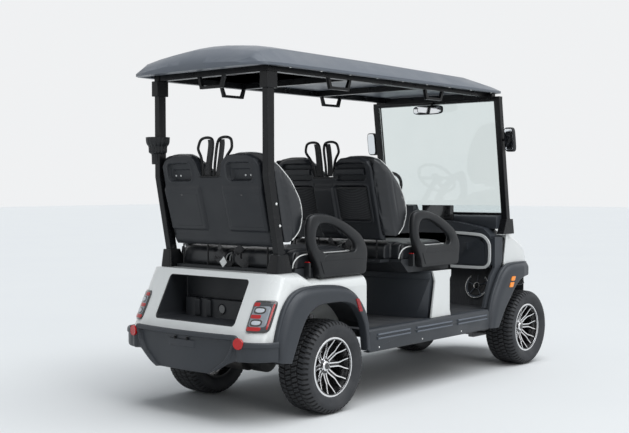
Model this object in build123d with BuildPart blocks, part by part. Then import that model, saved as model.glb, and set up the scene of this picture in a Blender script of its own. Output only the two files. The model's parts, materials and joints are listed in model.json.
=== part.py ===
from build123d import *
import os
from math import atan2, cos, degrees, radians, sin

os.makedirs("parts", exist_ok=True)

# An electric utility vehicle: a lifted cart with four forward-facing seats under one roof.
# Millimetres. +X is forward, +Y is left, +Z is up. The origin is on the ground, midway along
# the overall length.

# Overall lengths
WHEELBASE = 2460
REAR_OVERHANG = 745
FRONT_OVERHANG = 615
LENGTH = REAR_OVERHANG + WHEELBASE + FRONT_OVERHANG
REAR_AXLE_X = -LENGTH / 2 + REAR_OVERHANG
FRONT_AXLE_X = REAR_AXLE_X + WHEELBASE

# Wheels
TYRE_RADIUS = 296
TYRE_WIDTH = 254
AXLE_Z = TYRE_RADIUS
TRACK_HALF = 515
RIM_LIP_RADIUS = 190.5
BEAD_RADIUS = 184
RIM_WALL = 11.7
RIM_HALF_WIDTH = 104
BEAD_HALF_WIDTH = 88
HUB_FACE = 31
HUB_RADIUS = 48
SPOKE_COUNT = 8
SPOKE_THICKNESS = 14
SPINDLE_RADIUS = 25
SPINDLE_END = 20
DRUM_RADIUS = 92
DRUM_INNER = -24
DRUM_OUTER = 6

# Clearances
SEAT_GAP = 0.3
RUNNING_GAP = 5

# Body widths
BODY_HALF = 600
BODY_WALL = 6
SHOULDER_RADIUS = 70
PLAN_CORNER = 130
FLARE_OUTER = BODY_HALF + 60
SILL_OUTER = BODY_HALF + 40
ROOF_HALF = BODY_HALF + 6
SEAT_HALF = BODY_HALF - 72

# Heights
FLOOR_Z = 490
FLOOR_THICKNESS = 20
RAIL_Z = 390
DECK_Z = 905
SEAT_DECK_Z = 860
POD_TOP_Z = 830
SEAT_BASE_TOP_Z = 925
ROOF_EDGE_Z = 2155

# Frame
RAIL_Y = 190
RAIL_WIDTH = 50
RAIL_HEIGHT = FLOOR_Z - FLOOR_THICKNESS - RAIL_Z

# Steering
KINGPIN_Y = TRACK_HALF - 65
KINGPIN_RADIUS = 10
STEER_ARM = 100
STEER_ARM_Z = 246
RACK_RADIUS = 10
ROD_EYE_Z = 224

# Seat rows: the front row repeats the rear one, this far ahead
SEAT_PITCH = 1115
ROWS = (("rear", 0.0, SEAT_DECK_Z), ("front", SEAT_PITCH, POD_TOP_Z))

# Left and right sides
SIDES = (("left", 1), ("right", -1))


def rear(x):
    """A place measured forward from the rear axle."""
    return REAR_AXLE_X + x


def front(x):
    """A place measured forward from the front axle."""
    return FRONT_AXLE_X + x


def block(x0, x1, y0, y1, z0, z1, mode=Mode.ADD):
    """A box between two corners."""
    centre = ((x0 + x1) / 2, (y0 + y1) / 2, (z0 + z1) / 2)
    with Locations(centre):
        Box(abs(x1 - x0), abs(y1 - y0), abs(z1 - z0), mode=mode)


def side_profile(points, y0, y1, mode=Mode.ADD):
    """A side outline of (x, z) corners, carried from y0 to y1."""
    with BuildSketch(Plane.XZ.offset(-max(y0, y1))) as outline:
        Polygon(*points, align=None)
    extrude(outline.sketch, amount=abs(y1 - y0), mode=mode)


def end_profile(points, x0, x1, mode=Mode.ADD):
    """An end outline of (y, z) corners, carried from x0 to x1."""
    with BuildSketch(Plane.YZ.offset(x0)) as outline:
        Polygon(*points, align=None)
    extrude(outline.sketch, amount=x1 - x0, mode=mode)


def arc_points(centre, radius, start, end, steps=5):
    """Points along an arc between two angles in degrees."""
    turns = [radians(start + (end - start) * index / steps) for index in range(steps + 1)]
    return [(centre[0] + radius * cos(turn), centre[1] + radius * sin(turn)) for turn in turns]


def curve_points(points, steps):
    """Evenly spread points along the smooth curve through a few given ones."""
    curve = Edge.make_spline([Vector(x, y) for x, y in points])
    spread = [curve.position_at(index / steps) for index in range(steps + 1)]
    return [(point.X, point.Y) for point in spread]


def plan_form(points, grow, low_z, high_z):
    """The solid inside a plan line of (x, y) points and its mirror image, grown by a distance."""
    with BuildPart() as form:
        with BuildSketch(Plane.XY.offset(low_z)) as plan:
            Polygon(*points, *[(x, -y) for x, y in points[::-1]], align=None)
            if grow:
                offset(amount=grow, kind=Kind.INTERSECTION)
        extrude(plan.sketch, amount=high_z - low_z)
    return form.part


def faceted(plane, rows, sides):
    """A many-sided turned form with flat faces along a plane's normal, as rows of radius and height."""
    turns = [radians(360 * (index + 0.5) / sides) for index in range(sides + 1)]
    rings = [[plane.from_local_coords(Vector(radius * cos(turn), radius * sin(turn), height))
              for turn in turns] for radius, height in rows]
    faces = [Face(Wire.make_polygon(rings[0][:-1])), Face(Wire.make_polygon(rings[-1][:-1]))]
    for low, high in zip(rings, rings[1:]):
        for index in range(sides):
            corners = [low[index], low[index + 1], high[index + 1], high[index]]
            faces.append(Face(Wire.make_polygon(corners)))
    return Solid(Shell(faces))


def rod(start, end, radius, mode=Mode.ADD, sides=0):
    """A round bar between two points, or one with a number of flat sides."""
    line = Vector(*end) - Vector(*start)
    with BuildSketch(Plane(origin=start, z_dir=line)) as outline:
        if sides:
            RegularPolygon(radius, sides)
        else:
            Circle(radius)
    extrude(outline.sketch, amount=line.length, mode=mode)


# Chassis frame: two rails, cross members and outriggers
OUTRIGGER_HALF = BODY_HALF - 40
with BuildPart() as chassis_frame:
    for name, s in SIDES:
        block(rear(-520), front(420), s * RAIL_Y - RAIL_WIDTH / 2, s * RAIL_Y + RAIL_WIDTH / 2,
              RAIL_Z, RAIL_Z + RAIL_HEIGHT)
    for x in (rear(-500), rear(200), rear(SEAT_PITCH - 60), front(-560), front(400)):
        block(x - 20, x + 20, -RAIL_Y, RAIL_Y, RAIL_Z, RAIL_Z + RAIL_HEIGHT - 10)
    for x in (rear(520), rear(SEAT_PITCH + 40), front(-640)):
        block(x - 20, x + 20, -OUTRIGGER_HALF, OUTRIGGER_HALF, RAIL_Z + 25, RAIL_Z + RAIL_HEIGHT)
chassis_frame.part.label = "chassis_frame"
export_step(chassis_frame.part, "parts/chassis_frame.step")

# Rear axle: tube, gear housing, motor, flanges and spindles
AXLE_TUBE_RADIUS = 36
HOUSING_RADIUS = 95
MOTOR_RADIUS = 85
MOTOR_LENGTH = 210
FLANGE_Y = TRACK_HALF + DRUM_INNER - 12
with BuildPart() as rear_axle:
    rod((REAR_AXLE_X, -FLANGE_Y, AXLE_Z), (REAR_AXLE_X, FLANGE_Y, AXLE_Z), AXLE_TUBE_RADIUS,
        sides=20)
    rod((REAR_AXLE_X, -55, AXLE_Z), (REAR_AXLE_X, 55, AXLE_Z), HOUSING_RADIUS, sides=24)
    rod((rear(-70), 50, AXLE_Z), (rear(-70), 50 + MOTOR_LENGTH, AXLE_Z), MOTOR_RADIUS, sides=24)
    for name, s in SIDES:
        rod((REAR_AXLE_X, s * (FLANGE_Y - 8), AXLE_Z), (REAR_AXLE_X, s * FLANGE_Y, AXLE_Z), 62, sides=24)
        rod((REAR_AXLE_X, s * FLANGE_Y, AXLE_Z),
            (REAR_AXLE_X, s * (TRACK_HALF + SPINDLE_END), AXLE_Z), SPINDLE_RADIUS)
rear_axle.part.label = "rear_axle"
export_step(rear_axle.part, "parts/rear_axle.step")

# Rear suspension: a leaf spring and a damper on each side, with their hangers
SPRING_Y = 300
SPRING_WIDTH = 50
SPRING_REACH = 430
SPRING_EYE_Z = 400
LEAF = 8
with BuildPart() as rear_suspension:
    for name, s in SIDES:
        y0 = s * SPRING_Y - SPRING_WIDTH / 2
        y1 = s * SPRING_Y + SPRING_WIDTH / 2
        seat_z = AXLE_Z + AXLE_TUBE_RADIUS + SEAT_GAP
        side_profile([(rear(-SPRING_REACH), SPRING_EYE_Z), (rear(-60), seat_z + 12),
                      (rear(60), seat_z + 12), (rear(SPRING_REACH), SPRING_EYE_Z),
                      (rear(SPRING_REACH), SPRING_EYE_Z - 2 * LEAF), (rear(60), seat_z),
                      (rear(-60), seat_z), (rear(-SPRING_REACH), SPRING_EYE_Z - 2 * LEAF)], y0, y1)
        for x in (rear(-SPRING_REACH), rear(SPRING_REACH)):
            block(x - 18, x + 18, y0, y1, SPRING_EYE_Z - 25, SPRING_EYE_Z + 20)
            inner = s * (RAIL_Y + RAIL_WIDTH / 2)
            block(x - 18, x + 18, inner, y0 if s > 0 else y1, SPRING_EYE_Z, SPRING_EYE_Z + 20)
        rod((rear(110), s * SPRING_Y, AXLE_Z + 70), (rear(150), s * SPRING_Y, RAIL_Z + 200), 22, sides=12)
        block(rear(125), rear(175), s * (RAIL_Y + RAIL_WIDTH / 2), s * (SPRING_Y + 20),
              RAIL_Z + 60, RAIL_Z + RAIL_HEIGHT)
rear_suspension.part.label = "rear_suspension"
export_step(rear_suspension.part, "parts/rear_suspension.step")

# Front suspension: upper and lower arms, dampers and the subframe that guides the rack
ARM_PLATE = 14
UPPER_ARM_Z = 362
LOWER_ARM_Z = 216
ARM_ROOT_Y = 215
ARM_SPREAD = 120
RACK_X = front(-STEER_ARM)
RACK_Z = ROD_EYE_Z + 8
with BuildPart() as front_suspension:
    for name, s in SIDES:
        for z in (UPPER_ARM_Z, LOWER_ARM_Z):
            with BuildSketch(Plane.XY.offset(z)):
                Polygon((front(ARM_SPREAD), s * ARM_ROOT_Y), (front(22), s * (KINGPIN_Y + 18)),
                        (front(-22), s * (KINGPIN_Y + 18)), (front(-ARM_SPREAD + 45), s * ARM_ROOT_Y),
                        align=None)
                Polygon((front(ARM_SPREAD - 60), s * (ARM_ROOT_Y + 18)), (front(8), s * 370),
                        (front(-8), s * 370), (front(-ARM_SPREAD + 90), s * (ARM_ROOT_Y + 18)),
                        align=None, mode=Mode.SUBTRACT)
                with Locations((FRONT_AXLE_X, s * KINGPIN_Y)):
                    Circle(KINGPIN_RADIUS + SEAT_GAP, mode=Mode.SUBTRACT)
            extrude(amount=ARM_PLATE)
        block(front(-ARM_SPREAD - 40), front(ARM_SPREAD + 20), s * (ARM_ROOT_Y - 50), s * ARM_ROOT_Y,
              LOWER_ARM_Z - 20, RAIL_Z)
        rod((front(70), s * 330, LOWER_ARM_Z + ARM_PLATE), (front(70), s * 255, 456), 24, sides=12)
        block(front(45), front(95), s * (RAIL_Y + RAIL_WIDTH / 2), s * 282, 450, 470)
    block(front(-50), front(50), -(ARM_ROOT_Y - 50), ARM_ROOT_Y - 50, LOWER_ARM_Z - 20, LOWER_ARM_Z)
    rod((RACK_X, -ARM_ROOT_Y - 1, RACK_Z), (RACK_X, ARM_ROOT_Y + 1, RACK_Z),
        RACK_RADIUS + SEAT_GAP, mode=Mode.SUBTRACT)
front_suspension.part.label = "front_suspension"
export_step(front_suspension.part, "parts/front_suspension.step")

# Battery pack under the front seats
with BuildPart() as battery_pack:
    block(rear(1150), rear(1340), 120 - BODY_HALF, BODY_HALF - 120, FLOOR_Z, FLOOR_Z + 260)
battery_pack.part.label = "battery_pack"
export_step(battery_pack.part, "parts/battery_pack.step")

# Floor pan with the toe board and firewall ahead of it
TOE_X = front(-410)
FIREWALL_X = front(-330)
with BuildPart() as floor_pan:
    block(rear(365), FIREWALL_X + 6, -BODY_HALF + 20, BODY_HALF - 20, FLOOR_Z - FLOOR_THICKNESS, FLOOR_Z)
    side_profile([(TOE_X, FLOOR_Z), (FIREWALL_X, 800), (FIREWALL_X + 6, 800), (FIREWALL_X + 6, FLOOR_Z)],
                 -BODY_HALF + 25, BODY_HALF - 25)
floor_pan.part.label = "floor_pan"
export_step(floor_pan.part, "parts/floor_pan.step")


# Rear body: a white moulding, wide and square, with rounded shoulders and a sloped tail
TAIL_LOW_X = -678
TAIL_TOP_X = -470
TAIL_LOW_Z = 500
REAR_BODY_FRONT_X = 365
STEP_START_X = -270
STEP_END_X = -180


def tail_form(grow, low_z, top_z):
    """The sloped tail with its rounded plan corners, grown outwards by a distance."""
    slope = (TAIL_TOP_X - TAIL_LOW_X) / (DECK_Z - TAIL_LOW_Z)
    with BuildPart() as form:
        for z in (low_z, top_z):
            tail_x = rear(TAIL_LOW_X + slope * (z - TAIL_LOW_Z)) - grow
            half = BODY_HALF + grow
            corner = PLAN_CORNER + grow
            end_x = rear(REAR_BODY_FRONT_X)
            with BuildSketch(Plane.XY.offset(z)):
                Polygon((end_x, -half), (end_x, half),
                        *arc_points((tail_x + corner, half - corner), corner, 90, 180),
                        *arc_points((tail_x + corner, corner - half), corner, 180, 270), align=None)
        loft(ruled=True)
    return form.part


def shoulder_section(x, half, top_z, low_z, radius):
    """A body section across the vehicle, square below and rounded at its shoulders."""
    with BuildSketch(Plane.YZ.offset(x)) as section:
        Polygon((-half, low_z), (half, low_z),
                *arc_points((half - radius, top_z - radius), radius, 0, 90),
                *arc_points((radius - half, top_z - radius), radius, 90, 180), align=None)
    return section.sketch


def rear_body_form(inset, low_z):
    """The rear body as a solid, or its hollow when inset by the wall."""
    half = BODY_HALF - inset
    radius = SHOULDER_RADIUS - inset
    with BuildPart() as form:
        extrude(shoulder_section(rear(-760), half, DECK_Z - inset, low_z, radius),
                amount=760 + STEP_START_X)
        loft([shoulder_section(rear(STEP_START_X), half, DECK_Z - inset, low_z, radius),
              shoulder_section(rear(STEP_END_X), half, SEAT_DECK_Z - inset, low_z, radius)],
             ruled=True)
        extrude(shoulder_section(rear(STEP_END_X), half, SEAT_DECK_Z - inset, low_z, radius),
                amount=REAR_BODY_FRONT_X - STEP_END_X - inset)
        add(tail_form(-inset, low_z, DECK_Z + 20), mode=Mode.INTERSECT)
    return form.part


ARCH_CUT_RADIUS = 430
CARGO_LOW_Z = 592
CARGO_TOP_Z = 868
CARGO_HALF = 360
CARGO_CORNER = 26
with BuildPart() as rear_body:
    add(rear_body_form(0, TAIL_LOW_Z))
    add(rear_body_form(BODY_WALL, TAIL_LOW_Z - 10), mode=Mode.SUBTRACT)
    with BuildSketch(Plane.XZ.offset(-BODY_HALF - 10)):
        with Locations((REAR_AXLE_X, AXLE_Z)):
            RegularPolygon(ARCH_CUT_RADIUS, 36)
    extrude(amount=2 * BODY_HALF + 20, mode=Mode.SUBTRACT)
    with BuildSketch(Plane.YZ.offset(rear(-760))):
        with Locations((0, (CARGO_LOW_Z + CARGO_TOP_Z) / 2)):
            RectangleRounded(2 * CARGO_HALF, CARGO_TOP_Z - CARGO_LOW_Z, CARGO_CORNER)
    extrude(amount=420, mode=Mode.SUBTRACT)
rear_body.part.label = "rear_body"
export_step(rear_body.part, "parts/rear_body.step")

# Cargo box: a moulded well, open to the rear under the deck, with a ribbed box on its front wall
CARGO_FRONT_X = -340
CARGO_WALL = 5
CARGO_TOP_OUT_Z = CARGO_TOP_Z + 12
CARGO_LOW_OUT_Z = CARGO_LOW_Z - 12
CARGO_OUT_HALF = CARGO_HALF + 12


def cargo_solid(grow):
    """The block that fills the well, grown outwards by a distance."""
    with BuildPart() as form:
        block(rear(-700), rear(CARGO_FRONT_X) + grow, -CARGO_OUT_HALF - grow, CARGO_OUT_HALF + grow,
              CARGO_LOW_OUT_Z - grow, CARGO_TOP_OUT_Z + grow)
        add(tail_form(-BODY_WALL - SEAT_GAP, TAIL_LOW_Z, DECK_Z + 20), mode=Mode.INTERSECT)
    return form.part


with BuildPart() as cargo_box:
    add(cargo_solid(0))
    with BuildSketch(Plane.YZ.offset(rear(-760))):
        with Locations((0, (CARGO_LOW_Z + CARGO_TOP_Z) / 2)):
            RectangleRounded(2 * CARGO_HALF - 10, CARGO_TOP_Z - CARGO_LOW_Z - 10, CARGO_CORNER - 5)
    extrude(amount=760 + CARGO_FRONT_X - CARGO_WALL, mode=Mode.SUBTRACT)
    for y0, y1 in ((200, 300), (90, 160), (-300, 60)):
        block(rear(CARGO_FRONT_X - 70), rear(CARGO_FRONT_X - CARGO_WALL), y0, y1, CARGO_LOW_Z, 715)
    block(rear(CARGO_FRONT_X - 55), rear(CARGO_FRONT_X - CARGO_WALL), -290, 290, CARGO_LOW_Z, 705)
cargo_box.part.label = "cargo_box"
export_step(cargo_box.part, "parts/cargo_box.step")

# Tail lights: wrap-round lamps let into the corners of the tail
LAMP_PROUD = 9
LAMP_LOW_Z = 578
LAMP_TOP_Z = 756
LAMP_INNER_Y = BODY_HALF - 136
with BuildPart() as tail_lights:
    add(tail_form(LAMP_PROUD, TAIL_LOW_Z, DECK_Z + 20))
    add(tail_form(SEAT_GAP, TAIL_LOW_Z, DECK_Z + 20), mode=Mode.SUBTRACT)
    with BuildSketch(Plane.YZ.offset(rear(-760))):
        for name, s in SIDES:
            with Locations((s * (LAMP_INNER_Y + 90), (LAMP_LOW_Z + LAMP_TOP_Z) / 2)):
                RectangleRounded(180, LAMP_TOP_Z - LAMP_LOW_Z, 22)
    extrude(amount=300, mode=Mode.INTERSECT)
    side_profile([(rear(-532), 776), (rear(-596), 558), (rear(-400), 558), (rear(-400), 776)],
                 -BODY_HALF - 30, BODY_HALF + 30, mode=Mode.SUBTRACT)
tail_lights.part.label = "tail_lights"
export_step(tail_lights.part, "parts/tail_lights.step")

# Rear bumper: a deep bowed centre panel between two wings that run round to the flares
BUMPER_WALL = 6
BUMPER_RECESS = 9
BUMPER_TOP_Z = 557
BUMPER_WING_TOP_Z = 520
BUMPER_WING_LOW_Z = 402
BUMPER_LOW_Z = 306
BUMPER_SHOULDER_X = -706
BUMPER_SHOULDER_Y = BODY_HALF - 129
BUMPER_END_X = -548
PLATE_Z = 505
PLATE_BOLT_HALF = 55
PLATE_BOLT_RADIUS = 4


def bumper_plan(inset):
    """The bumper's outline from above: wings, corners and the bowed middle."""
    outer = FLARE_OUTER - 4 - inset
    shoulder = rear(BUMPER_SHOULDER_X) + inset
    with BuildSketch(Plane.XY.offset(BUMPER_LOW_Z - 10)) as plan:
        with BuildLine():
            Line((rear(-500), outer), (rear(BUMPER_END_X), outer))
            RadiusArc((rear(BUMPER_END_X), outer), (shoulder, BUMPER_SHOULDER_Y), -210)
            ThreePointArc((shoulder, BUMPER_SHOULDER_Y), (-LENGTH / 2 + inset, 0),
                          (shoulder, -BUMPER_SHOULDER_Y))
            RadiusArc((shoulder, -BUMPER_SHOULDER_Y), (rear(BUMPER_END_X), -outer), -210)
            Line((rear(BUMPER_END_X), -outer), (rear(-500), -outer))
            Line((rear(-500), -outer), (rear(-500), outer))
        make_face()
    return plan.sketch


def bumper_recess():
    """What is taken off the bumper's face: its middle, under the ledge and between the ribs, and the
    hollow outside each rib."""
    shoulder = BUMPER_SHOULDER_Y
    with BuildPart() as form:
        end_profile([(-shoulder + 62, 528), (-shoulder + 78, 450), (-shoulder + 170, 360), (-210, 300),
                     (210, 300), (shoulder - 170, 360), (shoulder - 78, 450), (shoulder - 62, 528)],
                    -LENGTH / 2 - 10, rear(-600))
        for name, s in SIDES:
            end_profile([(s * (shoulder - 28), 470), (s * (shoulder - 52), 440), (s * (shoulder - 125), 362),
                         (s * (shoulder - 81), 366), (s * (shoulder - 41), 392), (s * (shoulder - 28), 392)],
                        -LENGTH / 2 - 10, rear(-600))
        extrude(bumper_plan(BUMPER_RECESS), amount=400, mode=Mode.SUBTRACT)
    return form.part


with BuildPart() as rear_bumper:
    extrude(bumper_plan(0), amount=BUMPER_TOP_Z - BUMPER_LOW_Z + 10)
    extrude(bumper_plan(BUMPER_RECESS + BUMPER_WALL), amount=BUMPER_TOP_Z - BUMPER_LOW_Z + 4,
            mode=Mode.SUBTRACT)
    add(bumper_recess(), mode=Mode.SUBTRACT)
    wing = FLARE_OUTER + 5
    edge = BUMPER_SHOULDER_Y
    end_profile([(-wing, BUMPER_WING_LOW_Z), (-edge + 41, BUMPER_WING_LOW_Z - 6), (-edge + 81, 370),
                 (-237, BUMPER_LOW_Z), (237, BUMPER_LOW_Z), (edge - 81, 370),
                 (edge - 41, BUMPER_WING_LOW_Z - 6), (wing, BUMPER_WING_LOW_Z),
                 (wing, BUMPER_WING_TOP_Z), (edge + 14, BUMPER_WING_TOP_Z), (edge - 31, BUMPER_TOP_Z),
                 (31 - edge, BUMPER_TOP_Z), (-edge - 14, BUMPER_WING_TOP_Z),
                 (-wing, BUMPER_WING_TOP_Z)],
                -LENGTH / 2 - 10, rear(BUMPER_END_X), mode=Mode.INTERSECT)
    add(tail_form(SEAT_GAP, TAIL_LOW_Z - 1, DECK_Z), mode=Mode.SUBTRACT)
    block(-LENGTH / 2 - 4, -LENGTH / 2 + 24, -100, 100, PLATE_Z - 35, PLATE_Z + 35)
    block(-LENGTH / 2 + 24, rear(-520), -40, 40, PLATE_Z - 35, PLATE_Z - 20)
    block(rear(-520) - 12, rear(-520), -RAIL_Y - 25, RAIL_Y + 25, RAIL_Z, PLATE_Z - 20)
    block(-LENGTH / 2 - 20, -LENGTH / 2, -120, 120, PLATE_Z - 60, PLATE_Z + 60, mode=Mode.SUBTRACT)
    for y in (-PLATE_BOLT_HALF, PLATE_BOLT_HALF):
        rod((-LENGTH / 2 - 10, y, PLATE_Z), (-LENGTH / 2 + 30, y, PLATE_Z), PLATE_BOLT_RADIUS,
            mode=Mode.SUBTRACT)
rear_bumper.part.label = "rear_bumper"
export_step(rear_bumper.part, "parts/rear_bumper.step")

# Reflectors on the bumper corners and markers on the flares
REFLECTOR_RADIUS = 33
with BuildPart() as reflectors:
    for name, s in SIDES:
        rod((rear(BUMPER_SHOULDER_X - 12), s * (BUMPER_SHOULDER_Y + 3), 510),
            (rear(BUMPER_SHOULDER_X + 4), s * (BUMPER_SHOULDER_Y - 3), 510), REFLECTOR_RADIUS)
    extrude(bumper_plan(-SEAT_GAP), amount=BUMPER_TOP_Z - BUMPER_LOW_Z + 40, mode=Mode.SUBTRACT)
reflectors.part.label = "reflectors"
export_step(reflectors.part, "parts/reflectors.step")

# Fender flares: two-step arch mouldings, as (x, z) points from the wheel centre. Seen from above the
# rear ones run straight, and the front ones draw in with the nose.
FLARE_WALL = 6
FLARE_STEP = 18
FLARE_BAND = 34
REAR_FLARE_OUTER = [(-545, 96), (-540, 222), (-480, 390), (-403, 483), (-309, 520), (-200, 528),
                    (-84, 526), (74, 510), (180, 471), (258, 408), (325, 287), (345, 71)]
REAR_FLARE_INNER = [(-432, 81), (-338, 269), (-269, 360), (-186, 402), (-88, 412), (90, 404),
                    (200, 355), (275, 240), (304, 71)]
FRONT_FLARE_OUTER = [(-620, 54), (-590, 190), (-545, 300), (-480, 400), (-415, 478), (-330, 526),
                     (-200, 538), (0, 534), (200, 512), (345, 470)]
FRONT_FLARE_INNER = [(-539, 54), (-436, 259), (-345, 370), (-237, 434), (-62, 430), (170, 424),
                     (300, 408), (345, 396)]
REAR_FLARE_PLAN = [(rear(-560), FLARE_OUTER), (rear(360), FLARE_OUTER)]
FRONT_FLARE_PLAN = [(front(-640), FLARE_OUTER), (front(-120), FLARE_OUTER), (front(-14), FLARE_OUTER - 22),
                    (front(93), FLARE_OUTER - 86), (front(217), FLARE_OUTER - 164),
                    (front(345), FLARE_OUTER - 242)]
REAR_SIDE_PLAN = [(rear(-600), BODY_HALF), (rear(400), BODY_HALF)]
COWL_PLAN = [(front(-800), BODY_HALF), (front(-60), BODY_HALF), (front(93), BODY_HALF - 54),
             (front(217), BODY_HALF - 128), (front(345), BODY_HALF - 206), (front(450), BODY_HALF - 280),
             (front(520), BODY_HALF - 350), (front(548), BODY_HALF - 430)]


def drawn_in(points, amount):
    """Points moved towards the wheel centre by a distance."""
    scales = [1 - amount / (x * x + z * z) ** 0.5 for x, z in points]
    return [(x * scale, z * scale) for (x, z), scale in zip(points, scales)]


def flare_band(axle_x, outer, inner, plan, cut, inset):
    """The band between two arch lines on both sides, cut back all round and inside a plan line."""
    corners = [(axle_x + x, AXLE_Z + z) for x, z in outer + inner[::-1]]
    with BuildPart() as band:
        with BuildSketch(Plane.XZ.offset(-FLARE_OUTER)) as ring:
            Polygon(*corners, align=None)
            if cut:
                offset(amount=-cut, kind=Kind.INTERSECTION)
        extrude(ring.sketch, amount=2 * FLARE_OUTER)
        add(plan_form(plan, -inset, 300, 900), mode=Mode.INTERSECT)
    return band.part


FLARE_TABLE = (("rear", REAR_AXLE_X, REAR_FLARE_OUTER, REAR_FLARE_INNER, REAR_FLARE_PLAN, REAR_SIDE_PLAN),
               ("front", FRONT_AXLE_X, FRONT_FLARE_OUTER, FRONT_FLARE_INNER, FRONT_FLARE_PLAN, COWL_PLAN))
for end, axle_x, outer, inner, plan, side_plan in FLARE_TABLE:
    outer_line = curve_points(outer, 16)
    inner_line = curve_points(inner, 12)
    face_line = drawn_in(outer_line, FLARE_BAND)
    with BuildPart() as flare:
        add(flare_band(axle_x, outer_line, inner_line, plan, 0, FLARE_STEP))
        add(flare_band(axle_x, face_line, inner_line, plan, 0, 0))
        add(flare_band(axle_x, outer_line, inner_line, plan, FLARE_WALL, FLARE_STEP + FLARE_WALL),
            mode=Mode.SUBTRACT)
        add(flare_band(axle_x, face_line, inner_line, plan, FLARE_WALL, FLARE_WALL), mode=Mode.SUBTRACT)
        add(plan_form(side_plan, SEAT_GAP, 290, 910), mode=Mode.SUBTRACT)
    flare.part.label = f"{end}_flares"
    export_step(flare.part, f"parts/{end}_flares.step")

# Arch liners: thin covers inside the four wheel openings
LINER = 4
REAR_LINER_FRONT_X = rear(REAR_BODY_FRONT_X) - BODY_WALL - SEAT_GAP
REAR_LINER_LOW_Z = TAIL_LOW_Z + 5
REAR_LINER_INNER_Y = 372
FRONT_LINER_INNER_Y = 232
LINER_OUTER_Y = BODY_HALF - BODY_WALL - SEAT_GAP
FRONT_LINER = [(-318, 190), (-318, 270), (-235, 350), (240, 350), (368, 220), (368, 60),
               (364, 60), (364, 219), (238, 346), (-233, 346), (-314, 268), (-314, 190)]
FRONT_LINER_WALL = [(-318, 190), (-318, 270), (-235, 350), (240, 350), (368, 220), (368, 180)]


def front_liners():
    """The covers of both front wheel openings, inside the tapered cowl."""
    band = [(FRONT_AXLE_X + x, AXLE_Z + z) for x, z in FRONT_LINER]
    wall = [(FRONT_AXLE_X + x, AXLE_Z + z) for x, z in FRONT_LINER_WALL]
    with BuildPart() as form:
        for name, s in SIDES:
            side_profile(band, s * FRONT_LINER_INNER_Y, s * LINER_OUTER_Y)
            side_profile(wall, s * FRONT_LINER_INNER_Y, s * (FRONT_LINER_INNER_Y + LINER))
        add(plan_form(COWL_PLAN, -BODY_WALL - SEAT_GAP, 300, 900), mode=Mode.INTERSECT)
    return form.part


with BuildPart() as arch_liners:
    for name, s in SIDES:
        with BuildSketch(Plane.XZ.offset(-s * REAR_LINER_INNER_Y)) as band:
            with Locations((REAR_AXLE_X, AXLE_Z)):
                Circle(ARCH_CUT_RADIUS + LINER)
            with Locations((REAR_LINER_FRONT_X - 500, REAR_LINER_LOW_Z + 500)):
                Rectangle(1000, 1000, mode=Mode.INTERSECT)
            with Locations((REAR_AXLE_X, AXLE_Z)):
                Circle(ARCH_CUT_RADIUS, mode=Mode.SUBTRACT)
            with Locations((REAR_LINER_FRONT_X - LINER / 2, REAR_LINER_LOW_Z + 20)):
                Rectangle(LINER, 40)
        extrude(band.sketch, amount=-s * (LINER_OUTER_Y - REAR_LINER_INNER_Y))
    add(front_liners())
arch_liners.part.label = "arch_liners"
export_step(arch_liners.part, "parts/arch_liners.step")

# Rocker panels: stepped sills between the flares
ROCKER_LOW_Z = 345
ROCKER_TOP_Z = FLOOR_Z + 6
ROCKER_WALL = 6
ROCKER_GAP = 3
with BuildPart() as rocker_panels:
    for name, s in SIDES:
        section = [(BODY_HALF - 33, FLOOR_Z), (SILL_OUTER - 15, FLOOR_Z),
                   (SILL_OUTER - ROCKER_WALL, FLOOR_Z - 9),
                   (SILL_OUTER - ROCKER_WALL, ROCKER_LOW_Z + ROCKER_WALL),
                   (BODY_HALF - 15, ROCKER_LOW_Z + ROCKER_WALL), (BODY_HALF - 15, ROCKER_LOW_Z),
                   (SILL_OUTER - 8, ROCKER_LOW_Z), (SILL_OUTER, ROCKER_LOW_Z + 10),
                   (SILL_OUTER, ROCKER_TOP_Z - 12), (SILL_OUTER - 12, ROCKER_TOP_Z),
                   (BODY_HALF - 33, ROCKER_TOP_Z)]
        end_profile([(s * y, z) for y, z in section], rear(345 + ROCKER_GAP), front(-622 - ROCKER_GAP))
        for x0, x1 in ((420, 760), (860, 1330), (1400, 1810)):
            block(rear(x0), rear(x1), s * (SILL_OUTER - 3), s * (SILL_OUTER + 4), 438, 448)
rocker_panels.part.label = "rocker_panels"
export_step(rocker_panels.part, "parts/rocker_panels.step")

# Front seat pod: a charcoal shell with a bowed rear face and a lip under the seats
POD_REAR_X = 1125
POD_FRONT_X = 1355
POD_BOW = 70
POD_WALL = 5
POD_LOW_HALF = BODY_HALF - 40
POD_TOP_HALF = BODY_HALF - 16
LIP_LOW_Z = 765
LIP_TOP_Z = 812
LIP_PROUD = 8


def pod_section(z, grow):
    """The pod's outline from above, with a bowed rear edge."""
    share = (z - FLOOR_Z) / (POD_TOP_Z - FLOOR_Z)
    half = POD_LOW_HALF + (POD_TOP_HALF - POD_LOW_HALF) * share + grow
    with BuildSketch(Plane.XY.offset(z)) as section:
        with BuildLine():
            ThreePointArc((rear(POD_REAR_X) - grow, -half), (rear(POD_REAR_X - POD_BOW) - grow, 0),
                          (rear(POD_REAR_X) - grow, half))
            Line((rear(POD_REAR_X) - grow, half), (rear(POD_FRONT_X) + grow, half))
            Line((rear(POD_FRONT_X) + grow, half), (rear(POD_FRONT_X) + grow, -half))
            Line((rear(POD_FRONT_X) + grow, -half), (rear(POD_REAR_X) - grow, -half))
        make_face()
    return section.sketch


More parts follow.
